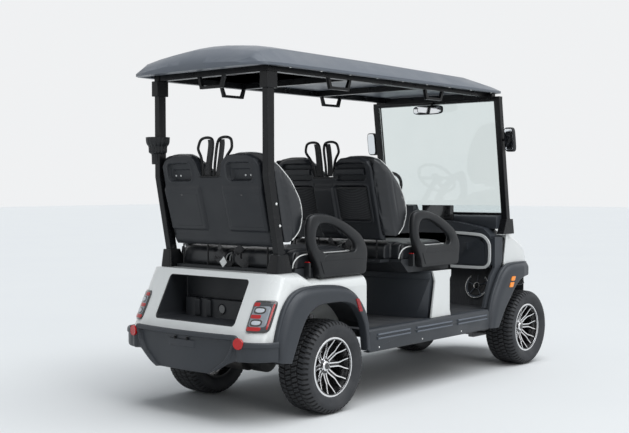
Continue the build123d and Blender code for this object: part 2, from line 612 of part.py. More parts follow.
with BuildPart() as seat_pod:
    loft([pod_section(FLOOR_Z, 0), pod_section(POD_TOP_Z, 0)], ruled=True)
    loft([pod_section(LIP_LOW_Z, 0), pod_section(LIP_LOW_Z + LIP_PROUD, LIP_PROUD),
          pod_section(LIP_TOP_Z, LIP_PROUD), pod_section(LIP_TOP_Z + LIP_PROUD, 0)], ruled=True)
    block(rear(POD_REAR_X - 1), rear(POD_FRONT_X + 40), -700, 700, LIP_LOW_Z - 1, POD_TOP_Z + 1,
          mode=Mode.SUBTRACT)
    loft([pod_section(FLOOR_Z, 0), pod_section(POD_TOP_Z, 0)], ruled=True)
    loft([pod_section(FLOOR_Z, -POD_WALL), pod_section(POD_TOP_Z - POD_WALL, -POD_WALL)],
         ruled=True, mode=Mode.SUBTRACT)
seat_pod.part.label = "seat_pod"
export_step(seat_pod.part, "parts/seat_pod.step")

# White side panels of the front seat pod
PANEL_INNER_Y = POD_TOP_HALF + 2
PANEL_OUTER_Y = BODY_HALF + 4
with BuildPart() as seat_pod_sides:
    for name, s in SIDES:
        side_profile([(rear(1115), ROCKER_TOP_Z), (rear(1165), 755), (rear(1135), POD_TOP_Z),
                      (rear(1370), POD_TOP_Z), (rear(1368), 785), (rear(1352), 762),
                      (rear(1352), 540), (rear(1368), ROCKER_TOP_Z)],
                     s * PANEL_INNER_Y, s * PANEL_OUTER_Y)
seat_pod_sides.part.label = "seat_pod_sides"
export_step(seat_pod_sides.part, "parts/seat_pod_sides.step")

# Seat rows: base tray, posts, back shells, cushions and armrests, the same in both rows
BASE_HALF = SEAT_HALF
BASE_FRONT_X = 330
BASE_REAR_X = -375
CUSHION_INNER_Y = 12
CUSHION_OUTER_Y = SEAT_HALF - 13
CUSHION_TOP_Z = 1040
CUSHION_REAR_X = -325
CUSHION_FRONT_X = 305
SHELL_LINE = [(-364, 1060), (-460, 1408), (-500, 1600), (-494, 1650)]
SHELL_THICKNESS = 40
SHELL_HALF = SEAT_HALF - 91
HUMP_INNER_Y = 95
VALLEY_Z = 1505
BACK_FRONT = [(-345, 1625), (-285, 1530), (-215, 1420), (-172, 1310), (-168, 1242), (-206, 1149),
              (-275, 1090)]
HOOP_OUTER = [(-172, 862), (-170, 1195), (-60, 1258), (50, 1252), (283, 1166), (418, 1010),
              (372, 862)]
HOOP_BAND = 54
HOOP_PANEL_Z = 1000
HOOP_INNER_Y = BASE_HALF + SEAT_GAP
HOOP_OUTER_Y = SEAT_HALF + 58
POST_HALF = 15
POST_INNER_Y = 150
POST_OUTER_Y = SEAT_HALF - 148
NOTCH_X = -262
PILLAR_IN_Y = SHELL_HALF + 28
PILLAR_OUT_Y = SHELL_HALF + 73
NOTCH_Y = SEAT_HALF - 102
for row, shift, deck_z in ROWS:
    with BuildPart() as base:
        outline = [(BASE_REAR_X, DECK_Z), (STEP_START_X, DECK_Z), (STEP_END_X, deck_z),
                   (BASE_FRONT_X, deck_z), (BASE_FRONT_X, SEAT_BASE_TOP_Z),
                   (BASE_REAR_X, SEAT_BASE_TOP_Z)]
        side_profile([(rear(x + shift), z) for x, z in outline], -BASE_HALF, BASE_HALF)
        for name, s in SIDES:
            block(rear(shift - 400), rear(shift + NOTCH_X), s * NOTCH_Y, s * (BASE_HALF + 5), 800, 1000,
                  mode=Mode.SUBTRACT)
        for y in (-POST_OUTER_Y, -POST_INNER_Y, POST_INNER_Y, POST_OUTER_Y):
            block(rear(shift - 350) - POST_HALF, rear(shift - 350) + POST_HALF, y - POST_HALF,
                  y + POST_HALF, SEAT_BASE_TOP_Z, SHELL_LINE[0][1] - SEAT_GAP)
    base.part.label = f"seat_base_{row}"
    export_step(base.part, f"parts/seat_base_{row}.step")

    with BuildPart() as shell:
        back = [(rear(x + shift), z) for x, z in SHELL_LINE]
        face = [(x + SHELL_THICKNESS, z) for x, z in back]
        side_profile(back + face[::-1], -SHELL_HALF, SHELL_HALF)
        hump = [(HUMP_INNER_Y, VALLEY_Z), (120, 1610), (175, 1651), (SHELL_HALF - 107, 1651),
                (SHELL_HALF - 42, 1625), (SHELL_HALF, 1560), (SHELL_HALF, 1055)]
        end_profile(hump + [(-y, z) for y, z in hump[::-1]], rear(shift - 520), rear(shift - 300),
                    mode=Mode.INTERSECT)
    shell.part.label = f"seat_shell_{row}"
    export_step(shell.part, f"parts/seat_shell_{row}.step")

    with BuildPart() as cushions:
        for name, s in SIDES:
            outline = [(CUSHION_REAR_X, SEAT_BASE_TOP_Z + SEAT_GAP), (CUSHION_REAR_X, CUSHION_TOP_Z - 25),
                       (CUSHION_REAR_X + 25, CUSHION_TOP_Z), (CUSHION_FRONT_X - 70, CUSHION_TOP_Z),
                       (CUSHION_FRONT_X - 15, CUSHION_TOP_Z - 25), (CUSHION_FRONT_X, CUSHION_TOP_Z - 60),
                       (CUSHION_FRONT_X - 10, SEAT_BASE_TOP_Z + SEAT_GAP)]
            side_profile([(rear(x + shift), z) for x, z in outline],
                         s * CUSHION_INNER_Y, s * CUSHION_OUTER_Y)
            block(rear(shift - 400), rear(shift + NOTCH_X), s * NOTCH_Y, s * (BASE_HALF + 5), 800, 1100,
                  mode=Mode.SUBTRACT)
    cushions.part.label = f"seat_cushions_{row}"
    export_step(cushions.part, f"parts/seat_cushions_{row}.step")

    with BuildPart() as backs:
        rest = [(x + SHELL_THICKNESS + SEAT_GAP, z) for x, z in SHELL_LINE[:3]]
        rest[0] = (SHELL_LINE[0][0] + SHELL_THICKNESS + SEAT_GAP - 4, 1075)
        outline = [(rear(x + shift), z) for x, z in rest + BACK_FRONT]
        for name, s in SIDES:
            side_profile(outline, s * CUSHION_INNER_Y, s * (CUSHION_OUTER_Y - 5))
            if row == "rear":
                side_profile([(rear(-600), 1000), (rear(-326), 1000), (rear(-420), 1500), (rear(-420), 1700),
                              (rear(-600), 1700)], s * (PILLAR_IN_Y - 7), s * (SEAT_HALF + 10),
                             mode=Mode.SUBTRACT)
            else:
                side_profile([(rear(x + shift + 12), z) for x, z in SHELL_LINE[:3]] + outline[2::-1],
                             s * (SHELL_HALF + SEAT_GAP), s * (SHELL_HALF + 40))
        crown = [(70, 1500), (100, 1590), (160, 1640), (SEAT_HALF - 198, 1640), (SEAT_HALF - 128, 1622),
                 (SEAT_HALF - 58, 1560), (SEAT_HALF - 17, 1440), (SEAT_HALF - 17, 1040)]
        end_profile(crown + [(-y, z) for y, z in crown[::-1]], rear(shift - 480), rear(shift - 100),
                    mode=Mode.INTERSECT)
    backs.part.label = f"seat_backs_{row}"
    export_step(backs.part, f"parts/seat_backs_{row}.step")

    with BuildPart() as armrests:
        for name, s in SIDES:
            with BuildSketch(Plane.XZ.offset(-s * HOOP_INNER_Y)) as hoop:
                Polygon(*[(rear(x + shift), z) for x, z in HOOP_OUTER], align=None)
                with BuildSketch(mode=Mode.SUBTRACT):
                    Polygon(*[(rear(x + shift), z) for x, z in HOOP_OUTER], align=None)
                    offset(amount=-HOOP_BAND, kind=Kind.INTERSECTION)
                    with Locations((rear(shift), HOOP_PANEL_Z - 200)):
                        Rectangle(1200, 400, mode=Mode.SUBTRACT)
            extrude(hoop.sketch, amount=-s * (HOOP_OUTER_Y - HOOP_INNER_Y))
    armrests.part.label = f"armrests_{row}"
    export_step(armrests.part, f"parts/armrests_{row}.step")

    with BuildPart() as hoops:
        for name, s in SIDES:
            loop = [(10, 0), (10, 201), (34, 245), (136, 245), (160, 201), (160, 167), (108, 103), (88, 0),
                    (70, 0), (90, 109), (141, 174), (141, 197), (127, 226), (43, 226), (28, 195), (28, 0)]
            end_profile([(s * y, VALLEY_Z + z) for y, z in loop], rear(shift - 620), rear(shift - 300))
        lean = [(-474, 0), (-490, 75), (-556, 185), (-568, 250), (-546, 250), (-534, 190), (-467, 80),
                (-450, 0)]
        side_profile([(rear(shift + x), VALLEY_Z + z) for x, z in lean], -165, 165, mode=Mode.INTERSECT)
    hoops.part.label = f"belt_hoops_{row}"
    export_step(hoops.part, f"parts/belt_hoops_{row}.step")

# Rear pillars on moulded pedestals
RAIL_LOW_Z = 2130
RAIL_TOP_Z = 2172
with BuildPart() as rear_pillars:
    for name, s in SIDES:
        side_profile([(rear(-392), 1015), (rear(-332), 1015), (rear(-426), 1500), (rear(-426), RAIL_LOW_Z),
                      (rear(-486), RAIL_LOW_Z), (rear(-486), 1500)], s * PILLAR_IN_Y, s * PILLAR_OUT_Y)
        with BuildSketch(Plane.XY.offset(DECK_Z)) as foot:
            with Locations((rear(-352), s * (PILLAR_IN_Y + 15))):
                RectangleRounded(146, 96, 12)
        with BuildSketch(Plane.XY.offset(1020)) as top:
            with Locations((rear(-362), s * (PILLAR_IN_Y + 22))):
                RectangleRounded(96, 74, 12)
        loft([foot.sketch, top.sketch], ruled=True)
rear_pillars.part.label = "rear_pillars"
export_step(rear_pillars.part, "parts/rear_pillars.step")

# Front pillars with their foot clamps and the header and sill bars of the windscreen
FRONT_PILLAR = 50
FRONT_PILLAR_Y = BODY_HALF - 15
PILLAR_FOOT_Z = 1060
PILLAR_HEAD_Z = 2095
PILLAR_FOOT_X = -268
PILLAR_HEAD_X = -408
CLAMP_REAR_X = -370
CLAMP_FRONT_X = -205
CLAMP_TOP_Z = 1176
PILLAR_LEAN = (PILLAR_HEAD_X - PILLAR_FOOT_X) / (PILLAR_HEAD_Z - PILLAR_FOOT_Z)


def pillar_x(z):
    """Where the front pillar's centre line lies at a height."""
    return front(PILLAR_FOOT_X + PILLAR_LEAN * (z - PILLAR_FOOT_Z))


with BuildPart() as front_pillars:
    half = FRONT_PILLAR / 2
    for name, s in SIDES:
        side_profile([(pillar_x(PILLAR_FOOT_Z) - half, PILLAR_FOOT_Z),
                      (pillar_x(PILLAR_FOOT_Z) + half, PILLAR_FOOT_Z),
                      (pillar_x(PILLAR_HEAD_Z) + half, PILLAR_HEAD_Z),
                      (pillar_x(PILLAR_HEAD_Z) - half, PILLAR_HEAD_Z)],
                     s * (FRONT_PILLAR_Y - half), s * (FRONT_PILLAR_Y + half))
        side_profile([(front(CLAMP_REAR_X), PILLAR_FOOT_Z), (front(CLAMP_FRONT_X), PILLAR_FOOT_Z),
                      (front(CLAMP_FRONT_X - 20), CLAMP_TOP_Z), (front(CLAMP_REAR_X + 50), CLAMP_TOP_Z)],
                     s * (FRONT_PILLAR_Y - half - 6), s * (FRONT_PILLAR_Y + half + 6))
    block(pillar_x(PILLAR_HEAD_Z) - half, pillar_x(PILLAR_HEAD_Z) + half,
          -FRONT_PILLAR_Y - half, FRONT_PILLAR_Y + half, PILLAR_HEAD_Z, RAIL_LOW_Z)
    block(pillar_x(1205) - 14, pillar_x(1205) + 14, -FRONT_PILLAR_Y + half, FRONT_PILLAR_Y - half,
          1185, 1225)
front_pillars.part.label = "front_pillars"
export_step(front_pillars.part, "parts/front_pillars.step")

# Windscreen between the front pillars
GLASS = 5
GLASS_HALF = FRONT_PILLAR_Y - FRONT_PILLAR / 2 - SEAT_GAP
with BuildPart() as windscreen:
    side_profile([(pillar_x(1225) - GLASS / 2, 1225), (pillar_x(1225) + GLASS / 2, 1225),
                  (pillar_x(PILLAR_HEAD_Z) + GLASS / 2, PILLAR_HEAD_Z),
                  (pillar_x(PILLAR_HEAD_Z) - GLASS / 2, PILLAR_HEAD_Z)], -GLASS_HALF, GLASS_HALF)
windscreen.part.label = "windscreen"
export_step(windscreen.part, "parts/windscreen.step")

# Roof: a thin edge, a sloped flank up to a ridge, and a crowned panel. Sections along its length, as
# place, half width, ridge height, crown height and how far in the ridge lies.
ROOF_SECTIONS = ((rear(-640), ROOF_HALF - 176, 2178, 2192, 40), (rear(-605), ROOF_HALF - 51, 2204, 2238, 70),
                 (rear(-555), ROOF_HALF - 14, 2236, 2284, 95), (rear(-440), ROOF_HALF - 3, 2264, 2320, 110),
                 (rear(-300), ROOF_HALF, 2272, 2335, 116), (rear(700), ROOF_HALF, 2268, 2326, 116),
                 (front(-760), ROOF_HALF - 2, 2254, 2300, 110), (front(-370), ROOF_HALF - 18, 2208, 2240, 80),
                 (front(-341), ROOF_HALF - 66, 2186, 2208, 40))
ROOF_EDGE = 17


def roof_section(x, half, ridge_z, crown_z, ridge_in):
    """One section of the roof: a flat underside, a thin edge, sloped flanks and a crowned top."""
    ridge = half - ridge_in
    shares = [1 - index / 4 for index in range(9)]
    crown = [(ridge * share, crown_z - (crown_z - ridge_z) * share * share) for share in shares]
    edge_z = ROOF_EDGE_Z + ROOF_EDGE
    with BuildSketch(Plane.YZ.offset(x)) as section:
        Polygon((-half, ROOF_EDGE_Z), (half, ROOF_EDGE_Z), (half, edge_z), *crown, (-half, edge_z),
                align=None)
    return section.sketch


with BuildPart() as roof:
    loft([roof_section(*row) for row in ROOF_SECTIONS], ruled=True)
    block(rear(-560), front(-375), 46 - ROOF_HALF, ROOF_HALF - 46, ROOF_EDGE_Z, RAIL_TOP_Z,
          mode=Mode.SUBTRACT)
roof.part.label = "roof"
export_step(roof.part, "parts/roof.step")

# Roof frame: two side rails and cross members, with the grab handles under them
GRAB_DROP = 68
GRAB_BAR = 20
GRAB_TABLE = ((rear(100), rear(340)), (rear(1190), rear(1430)))
with BuildPart() as roof_frame:
    for name, s in SIDES:
        block(rear(-486), front(-380), s * PILLAR_IN_Y, s * PILLAR_OUT_Y, RAIL_LOW_Z, RAIL_TOP_Z)
        for x0, x1 in GRAB_TABLE:
            side_profile([(x0, RAIL_LOW_Z), (x0 + 22, RAIL_LOW_Z - GRAB_DROP),
                          (x1 - 22, RAIL_LOW_Z - GRAB_DROP), (x1, RAIL_LOW_Z),
                          (x1 - GRAB_BAR, RAIL_LOW_Z), (x1 - 22 - GRAB_BAR, RAIL_LOW_Z - GRAB_DROP + 18),
                          (x0 + 22 + GRAB_BAR, RAIL_LOW_Z - GRAB_DROP + 18),
                          (x0 + GRAB_BAR, RAIL_LOW_Z)], s * (PILLAR_IN_Y + 8), s * (PILLAR_IN_Y + 30))
    for x in (rear(-456), rear(330), rear(1150)):
        block(x - 25, x + 25, -PILLAR_IN_Y, PILLAR_IN_Y, RAIL_LOW_Z, RAIL_TOP_Z)
    end_profile([(-120, RAIL_LOW_Z), (-98, RAIL_LOW_Z - 75), (98, RAIL_LOW_Z - 75), (120, RAIL_LOW_Z),
                 (100, RAIL_LOW_Z), (80, RAIL_LOW_Z - 57), (-80, RAIL_LOW_Z - 57), (-100, RAIL_LOW_Z)],
                rear(-466), rear(-444))
roof_frame.part.label = "roof_frame"
export_step(roof_frame.part, "parts/roof_frame.step")

# Ribbed cup clamped round the left rear pillar: radius and height of its steps
CUP_ROWS = [(57, 1587), (60, 1655), (72, 1662), (84, 1700), (100, 1712), (104, 1762)]
CUP_X = rear(-446)
CUP_Y = PILLAR_OUT_Y + 10
with BuildPart() as pillar_cup:
    add(faceted(Plane((CUP_X, CUP_Y, 0)), CUP_ROWS, 30))
    block(rear(-486) - SEAT_GAP, rear(-426) + SEAT_GAP, PILLAR_IN_Y - SEAT_GAP,
          PILLAR_OUT_Y + SEAT_GAP, 1500, 1800, mode=Mode.SUBTRACT)
    block(rear(-560), rear(-340), CUP_Y - 140, PILLAR_IN_Y - SEAT_GAP, 1500, 1690,
          mode=Mode.SUBTRACT)
pillar_cup.part.label = "pillar_cup"
export_step(pillar_cup.part, "parts/pillar_cup.step")

# Front cowl: hood, fenders and side skins in one white moulding
HOOD_REAR_X = -300
HOOD_FRONT_X = 512
HOOD_SECTIONS = ((HOOD_REAR_X, BODY_HALF, 1062, 1160), (-179, BODY_HALF - 2, 1062, 1150),
                 (0, BODY_HALF - 16, 975, 1090), (110, BODY_HALF - 50, 876, 1040),
                 (300, BODY_HALF - 145, 846, 960), (430, BODY_HALF - 235, 816, 895),
                 (HOOD_FRONT_X, BODY_HALF - 310, 766, 800))
COWL_NOSE_X = 548
COWL_LOW_REAR_X = -577
COWL_TOP_REAR_X = -337
GRILLE_HALF = BODY_HALF - 446
GRILLE_LOW_Z = 560
GRILLE_TOP_Z = 735
LAMP_Y = BODY_HALF - 318
LAMP_Z = 680
LAMP_RADIUS = 68


def hood_section(x, half, side_z, crown_z, inset, low_z):
    """One section of the hood, with a rounded shoulder and a crowned top."""
    edge = half - 45
    shares = [1 - index / 4 for index in range(9)]
    crown = [(edge * share, crown_z - inset - (crown_z - side_z) * share * share) for share in shares]
    with BuildSketch(Plane.YZ.offset(x)) as section:
        Polygon((-half, low_z), (half, low_z), (half, side_z - 50 - inset), *crown,
                (-half, side_z - 50 - inset), align=None)
    return section.sketch


def cowl_form(inset, low_z):
    """The cowl as a solid, or its hollow when inset by the wall."""
    open_rear = 150 if inset > 0 else 0
    with BuildPart() as form:
        with BuildSketch(Plane.XZ.offset(-BODY_HALF + inset)) as side:
            Polygon((front(COWL_LOW_REAR_X) - open_rear, low_z),
                    (front(COWL_TOP_REAR_X) - open_rear, 815 - inset),
                    (front(425), 815 - inset), (front(512) - inset, 770 - inset),
                    (front(COWL_NOSE_X) - inset, 640), (front(COWL_NOSE_X) - inset, low_z), align=None)
        extrude(side.sketch, amount=2 * (BODY_HALF - inset))
        rows = []
        for x, half, side_z, crown_z in HOOD_SECTIONS:
            if x == HOOD_REAR_X:
                x = x - open_rear / 5
            if x == HOOD_FRONT_X:
                x = x - inset
            rows.append(hood_section(front(x), half - inset, side_z, crown_z, inset, 660))
        loft(rows, ruled=True)
        add(plan_form(COWL_PLAN, -inset, low_z - 10, 1200), mode=Mode.INTERSECT)
    return form.part


with BuildPart() as front_cowl:
    add(cowl_form(0, 480))
    with BuildSketch(Plane.XZ.offset(-BODY_HALF)) as edge:
        Polygon((front(-337), 700), (front(-337), 852), (front(-300), 1062), (front(-280), 1062),
                (front(-280), 700), align=None)
    extrude(edge.sketch, amount=2 * BODY_HALF)
    add(cowl_form(BODY_WALL, 470), mode=Mode.SUBTRACT)
    block(front(-345), front(-290), -BODY_HALF + BODY_WALL, BODY_HALF - BODY_WALL, 690, 1200,
          mode=Mode.SUBTRACT)
    with BuildSketch(Plane.XZ.offset(-BODY_HALF - 10)) as arch:
        Polygon((front(-470), 400), (front(-390), 640), (front(-280), 770), (front(250), 770),
                (front(350), 690), (front(370), 400), align=None)
    extrude(arch.sketch, amount=2 * BODY_HALF + 20, mode=Mode.SUBTRACT)
    block(front(400), front(700), -GRILLE_HALF, GRILLE_HALF, GRILLE_LOW_Z, GRILLE_TOP_Z,
          mode=Mode.SUBTRACT)
    for name, s in SIDES:
        rod((front(300), s * LAMP_Y, LAMP_Z), (front(700), s * LAMP_Y, LAMP_Z), LAMP_RADIUS,
            mode=Mode.SUBTRACT)
        block(front(CLAMP_REAR_X) - 1, front(CLAMP_FRONT_X) + 1, s * (FRONT_PILLAR_Y - 32),
              s * (BODY_HALF + 20), PILLAR_FOOT_Z - 0.5, 1250, mode=Mode.SUBTRACT)
        block(front(CLAMP_REAR_X), front(CLAMP_FRONT_X), s * (FRONT_PILLAR_Y - 31),
              s * (BODY_HALF - BODY_WALL), PILLAR_FOOT_Z - 6, PILLAR_FOOT_Z - 0.5)
front_cowl.part.label = "front_cowl"
export_step(front_cowl.part, "parts/front_cowl.step")

# Grille: a frame and upright bars in the nose opening
GRILLE_BARS = 7
with BuildPart() as grille:
    half = GRILLE_HALF - SEAT_GAP
    block(front(COWL_NOSE_X - 30), front(COWL_NOSE_X - 4), -half, half, GRILLE_LOW_Z + SEAT_GAP,
          GRILLE_TOP_Z - SEAT_GAP)
    block(front(COWL_NOSE_X - 40), front(COWL_NOSE_X), -half + 14, half - 14, GRILLE_LOW_Z + 14,
          GRILLE_TOP_Z - 14, mode=Mode.SUBTRACT)
    for index in range(GRILLE_BARS):
        y = (index - (GRILLE_BARS - 1) / 2) * 2 * half / (GRILLE_BARS + 1)
        block(front(COWL_NOSE_X - 26), front(COWL_NOSE_X - 8), y - 9, y + 9, GRILLE_LOW_Z + 14,
              GRILLE_TOP_Z - 14)
grille.part.label = "grille"
export_step(grille.part, "parts/grille.step")

# Headlights in round openings beside the grille
with BuildPart() as headlights:
    for name, s in SIDES:
        rod((front(300), s * LAMP_Y, LAMP_Z), (front(600), s * LAMP_Y, LAMP_Z), LAMP_RADIUS - SEAT_GAP)
    add(cowl_form(3, 470), mode=Mode.INTERSECT)
    add(cowl_form(24, 460), mode=Mode.SUBTRACT)
headlights.part.label = "headlights"
export_step(headlights.part, "parts/headlights.step")

# Front bumper
FRONT_BUMPER_TOP_Z = 520
FRONT_BUMPER_LOW_Z = 330


FRONT_BUMPER_PLAN = [(front(372), BODY_HALF - 204), (front(430), BODY_HALF - 214),
                     (front(505), BODY_HALF - 262), (front(565), BODY_HALF - 340),
                     (front(598), BODY_HALF - 455), (LENGTH / 2, BODY_HALF - 560)]
with BuildPart() as front_bumper:
    add(plan_form(FRONT_BUMPER_PLAN, 0, FRONT_BUMPER_LOW_Z, FRONT_BUMPER_TOP_Z))
    add(plan_form([(front(300), BODY_HALF - 204)] + FRONT_BUMPER_PLAN[1:], -BUMPER_WALL,
                  FRONT_BUMPER_LOW_Z - 10, FRONT_BUMPER_TOP_Z - 6), mode=Mode.SUBTRACT)
    add(cowl_form(-SEAT_GAP, 478), mode=Mode.SUBTRACT)
    block(front(420), front(450), -RAIL_Y - 25, RAIL_Y + 25, RAIL_Z + 20, RAIL_Z + 32)
    block(front(450), front(604), -100, 100, RAIL_Z + 20, RAIL_Z + 32)
front_bumper.part.label = "front_bumper"
export_step(front_bumper.part, "parts/front_bumper.step")

# Dashboard: crowned body with a shelf, a glove box and a cubby, and its end panels
DASH_REAR_X = -460
DASH_FRONT_X = -302
DASH_LOW_Z = 800
DASH_HALF = BODY_HALF - 52
DASH_SIDE_Z = 1050
DASH_CROWN_Z = 1165
DOOR_OUTER_Y = DASH_HALF - 48
DOOR_OUTLINE = [(-224, 1046), (70 - DOOR_OUTER_Y, 1030), (-DOOR_OUTER_Y, 985), (-DOOR_OUTER_Y, 819),
                (-224, 819)]
DOOR_THICKNESS = 16
HINGE_RADIUS = 5
HINGE_Z = 829
HINGE_X = front(DASH_REAR_X) + 8
HINGE_Y0 = -DOOR_OUTER_Y - 12
HINGE_Y1 = -212
SHELF_Y0 = -175
SHELF_Y1 = 100
POCKET_DEPTH = 130
COLUMN_START = (front(-698), 300, 1397)
COLUMN_END = (front(-350), 300, 1196)
COLUMN_RADIUS = 24
END_PANEL_Y0 = BODY_HALF - 30
END_PANEL_Y1 = BODY_HALF - 8
with BuildPart() as dashboard:
    end_profile([(-DASH_HALF, DASH_LOW_Z), (DASH_HALF, DASH_LOW_Z), (DASH_HALF, DASH_SIDE_Z),
                 (DASH_HALF - 60, DASH_SIDE_Z + 55), (260, DASH_CROWN_Z - 15), (0, DASH_CROWN_Z),
                 (-260, DASH_CROWN_Z - 15), (60 - DASH_HALF, DASH_SIDE_Z + 55),
                 (-DASH_HALF, DASH_SIDE_Z)], front(DASH_REAR_X), front(DASH_FRONT_X))
    for y0, y1, z0, z1 in ((16 - DOOR_OUTER_Y, -240, 842, 1020), (SHELF_Y0, SHELF_Y1, 835, 1060),
                           (DASH_HALF - 118, DASH_HALF - 28, 860, 1030)):
        block(front(DASH_REAR_X) - 10, front(DASH_REAR_X) + POCKET_DEPTH, y0, y1, z0, z1,
              mode=Mode.SUBTRACT)
    with BuildSketch(Plane.YZ.offset(front(DASH_REAR_X) - 10)) as recess:
        Polygon(*DOOR_OUTLINE, align=None)
        offset(amount=RUNNING_GAP, kind=Kind.INTERSECTION)
    extrude(recess.sketch, amount=10 + DOOR_THICKNESS + RUNNING_GAP, mode=Mode.SUBTRACT)
    rod((HINGE_X, HINGE_Y0 - 1, HINGE_Z), (HINGE_X, HINGE_Y1 + 1, HINGE_Z),
        HINGE_RADIUS + SEAT_GAP, mode=Mode.SUBTRACT)
    side_profile([(front(DASH_REAR_X + 4), 1120), (front(DASH_REAR_X + 4), 1275),
                  (front(DASH_REAR_X + 60), 1285), (front(DASH_FRONT_X - 20), 1150),
                  (front(DASH_FRONT_X - 20), 1120)], 180, 420)
    rod(COLUMN_START, COLUMN_END, COLUMN_RADIUS + SEAT_GAP, mode=Mode.SUBTRACT)
    for name, s in SIDES:
        side_profile([(front(-577), 500), (front(-622), 500), (front(-520), 740),
                      (front(DASH_REAR_X), 800), (front(DASH_REAR_X), 1040), (front(-345), 1040),
                      (front(-345), 852)], s * END_PANEL_Y0, s * END_PANEL_Y1)
        block(front(DASH_REAR_X), front(-400), s * DASH_HALF, s * END_PANEL_Y0, 820, 1030)
dashboard.part.label = "dashboard"
export_step(dashboard.part, "parts/dashboard.step")

# Glove box door, hinged along its lower edge on two pins
with BuildPart() as glove_box_door:
    end_profile(DOOR_OUTLINE, front(DASH_REAR_X), front(DASH_REAR_X) + DOOR_THICKNESS)
    rod((HINGE_X, HINGE_Y0, HINGE_Z), (HINGE_X, HINGE_Y1, HINGE_Z), HINGE_RADIUS)
    block(front(DASH_REAR_X) - 8, front(DASH_REAR_X), -350, -318, 935, 990)
glove_box_door.part.label = "glove_box_door"
export_step(glove_box_door.part, "parts/glove_box_door.step")

# White trim round the glove box and the shelf
with BuildPart() as dash_trim:
    x0 = front(DASH_REAR_X) - 8
    x1 = front(DASH_REAR_X)
    edge = DOOR_OUTER_Y
    end_profile([(-190, 1082), (50 - edge, 1066), (-edge - 46, 1004), (-edge - 46, 832), (-edge, 797),
                 (-190, 797), (-190, 808), (4 - edge, 808), (-edge - 32, 838), (-edge - 32, 996),
                 (58 - edge, 1052), (-190, 1068)], x0, x1)
dash_trim.part.label = "dash_trim"
export_step(dash_trim.part, "parts/dash_trim.step")

# Display on the dash
with BuildPart() as display:
    side_profile([(front(-440), 1166), (front(-448), 1283), (front(-432), 1283), (front(-424), 1166)],
                 -196, 100)
    block(front(-445), front(-405), -60, 60, DASH_CROWN_Z, 1180)
display.part.label = "display"
export_step(display.part, "parts/display.step")

# Speakers in the firewall
SPEAKER_RADIUS = 102
with BuildPart() as speakers:
    for name, s in SIDES:
        lean = atan2(FIREWALL_X - TOE_X, 800 - FLOOR_Z)
        centre = Vector(TOE_X + (640 - FLOOR_Z) * (FIREWALL_X - TOE_X) / (800 - FLOOR_Z), s * 375, 640)
        out = Vector(-cos(lean), 0, sin(lean))
        rod(centre, centre + out * 18, SPEAKER_RADIUS, sides=32)
        rod(centre + out * 12, centre + out * 30, SPEAKER_RADIUS - 22, mode=Mode.SUBTRACT, sides=32)
speakers.part.label = "speakers"
export_step(speakers.part, "parts/speakers.step")

# Pedals on the toe board
TOE_LEAN = (FIREWALL_X - TOE_X) / (800 - FLOOR_Z)


def toe_x(z):
    """Where the rear face of the toe board lies at a height."""
    return TOE_X + TOE_LEAN * (z - FLOOR_Z)


with BuildPart() as pedals:
    for y in (115, 212):
        side_profile([(toe_x(660) - SEAT_GAP, 660), (toe_x(636) - SEAT_GAP, 636),
                      (toe_x(570) - 46, 572), (toe_x(570) - 60, 584)], y - 10, y + 10)
        side_profile([(toe_x(560) - 62, 548), (toe_x(560) - 74, 553), (toe_x(560) - 44, 622),
                      (toe_x(560) - 34, 618)], y - 32, y + 32)
pedals.part.label = "pedals"
export_step(pedals.part, "parts/pedals.step")

# Steering column
with BuildPart() as steering_column:
    rod(COLUMN_START, COLUMN_END, COLUMN_RADIUS)
    top = Vector(*COLUMN_START)
    lean = (top - Vector(*COLUMN_END)).normalized()
    rod(COLUMN_START, top + lean * 26, 10)
steering_column.part.label = "steering_column"
export_step(steering_column.part, "parts/steering_column.step")

# Steering wheel: rim, hub and three spokes about the column's line
WHEEL_RADIUS = 180
WHEEL_GRIP = 14
with BuildPart() as steering_wheel:
    hub = top + lean * 8
    wheel_plane = Plane(origin=hub, x_dir=(0, 1, 0), z_dir=lean)
    middle = WHEEL_RADIUS - WHEEL_GRIP
    add(faceted(wheel_plane, [(middle + 7, -12), (WHEEL_RADIUS, 0), (middle + 7, 12)], 30))
    add(faceted(wheel_plane, [(middle - 7, -12), (middle - WHEEL_GRIP, 0), (middle - 7, 12)], 30),
        mode=Mode.SUBTRACT)
    with BuildSketch(wheel_plane.offset(-6)) as spokes:
        Rectangle(2 * WHEEL_RADIUS - 2 * WHEEL_GRIP, 30)
        with Locations((0, WHEEL_RADIUS / 2)):
            Rectangle(36, WHEEL_RADIUS - WHEEL_GRIP)
        Circle(52)
    extrude(spokes.sketch, amount=14)
    with BuildSketch(wheel_plane.offset(-10)) as bore:
        Circle(10 + SEAT_GAP)
    extrude(bore.sketch, amount=28 + SEAT_GAP - 10, mode=Mode.SUBTRACT)
steering_wheel.part.label = "steering_wheel"
export_step(steering_wheel.part, "parts/steering_wheel.step")

# Mirrors: one on each front pillar and one under the header bar
MIRROR_OUTER_Y = BODY_HALF + 109
with BuildPart() as mirrors:
    for name, s in SIDES:
        block(pillar_x(1795) - 20, pillar_x(1795) + 20, s * (MIRROR_OUTER_Y - 85), s * MIRROR_OUTER_Y,
              1700, 1890)
        block(pillar_x(1795) - 10, pillar_x(1795) + 10, s * (FRONT_PILLAR_Y + FRONT_PILLAR / 2 + SEAT_GAP),
              s * (MIRROR_OUTER_Y - 85), 1780, 1810)
    block(front(-520), front(-498), -140, 140, 2010, 2085)
    block(front(-498), pillar_x(PILLAR_HEAD_Z) - 25, -12, 12, 2070, 2085)
    block(pillar_x(PILLAR_HEAD_Z) - 40, pillar_x(PILLAR_HEAD_Z) - 25, -12, 12, 2085, 2120)
mirrors.part.label = "mirrors"
export_step(mirrors.part, "parts/mirrors.step")

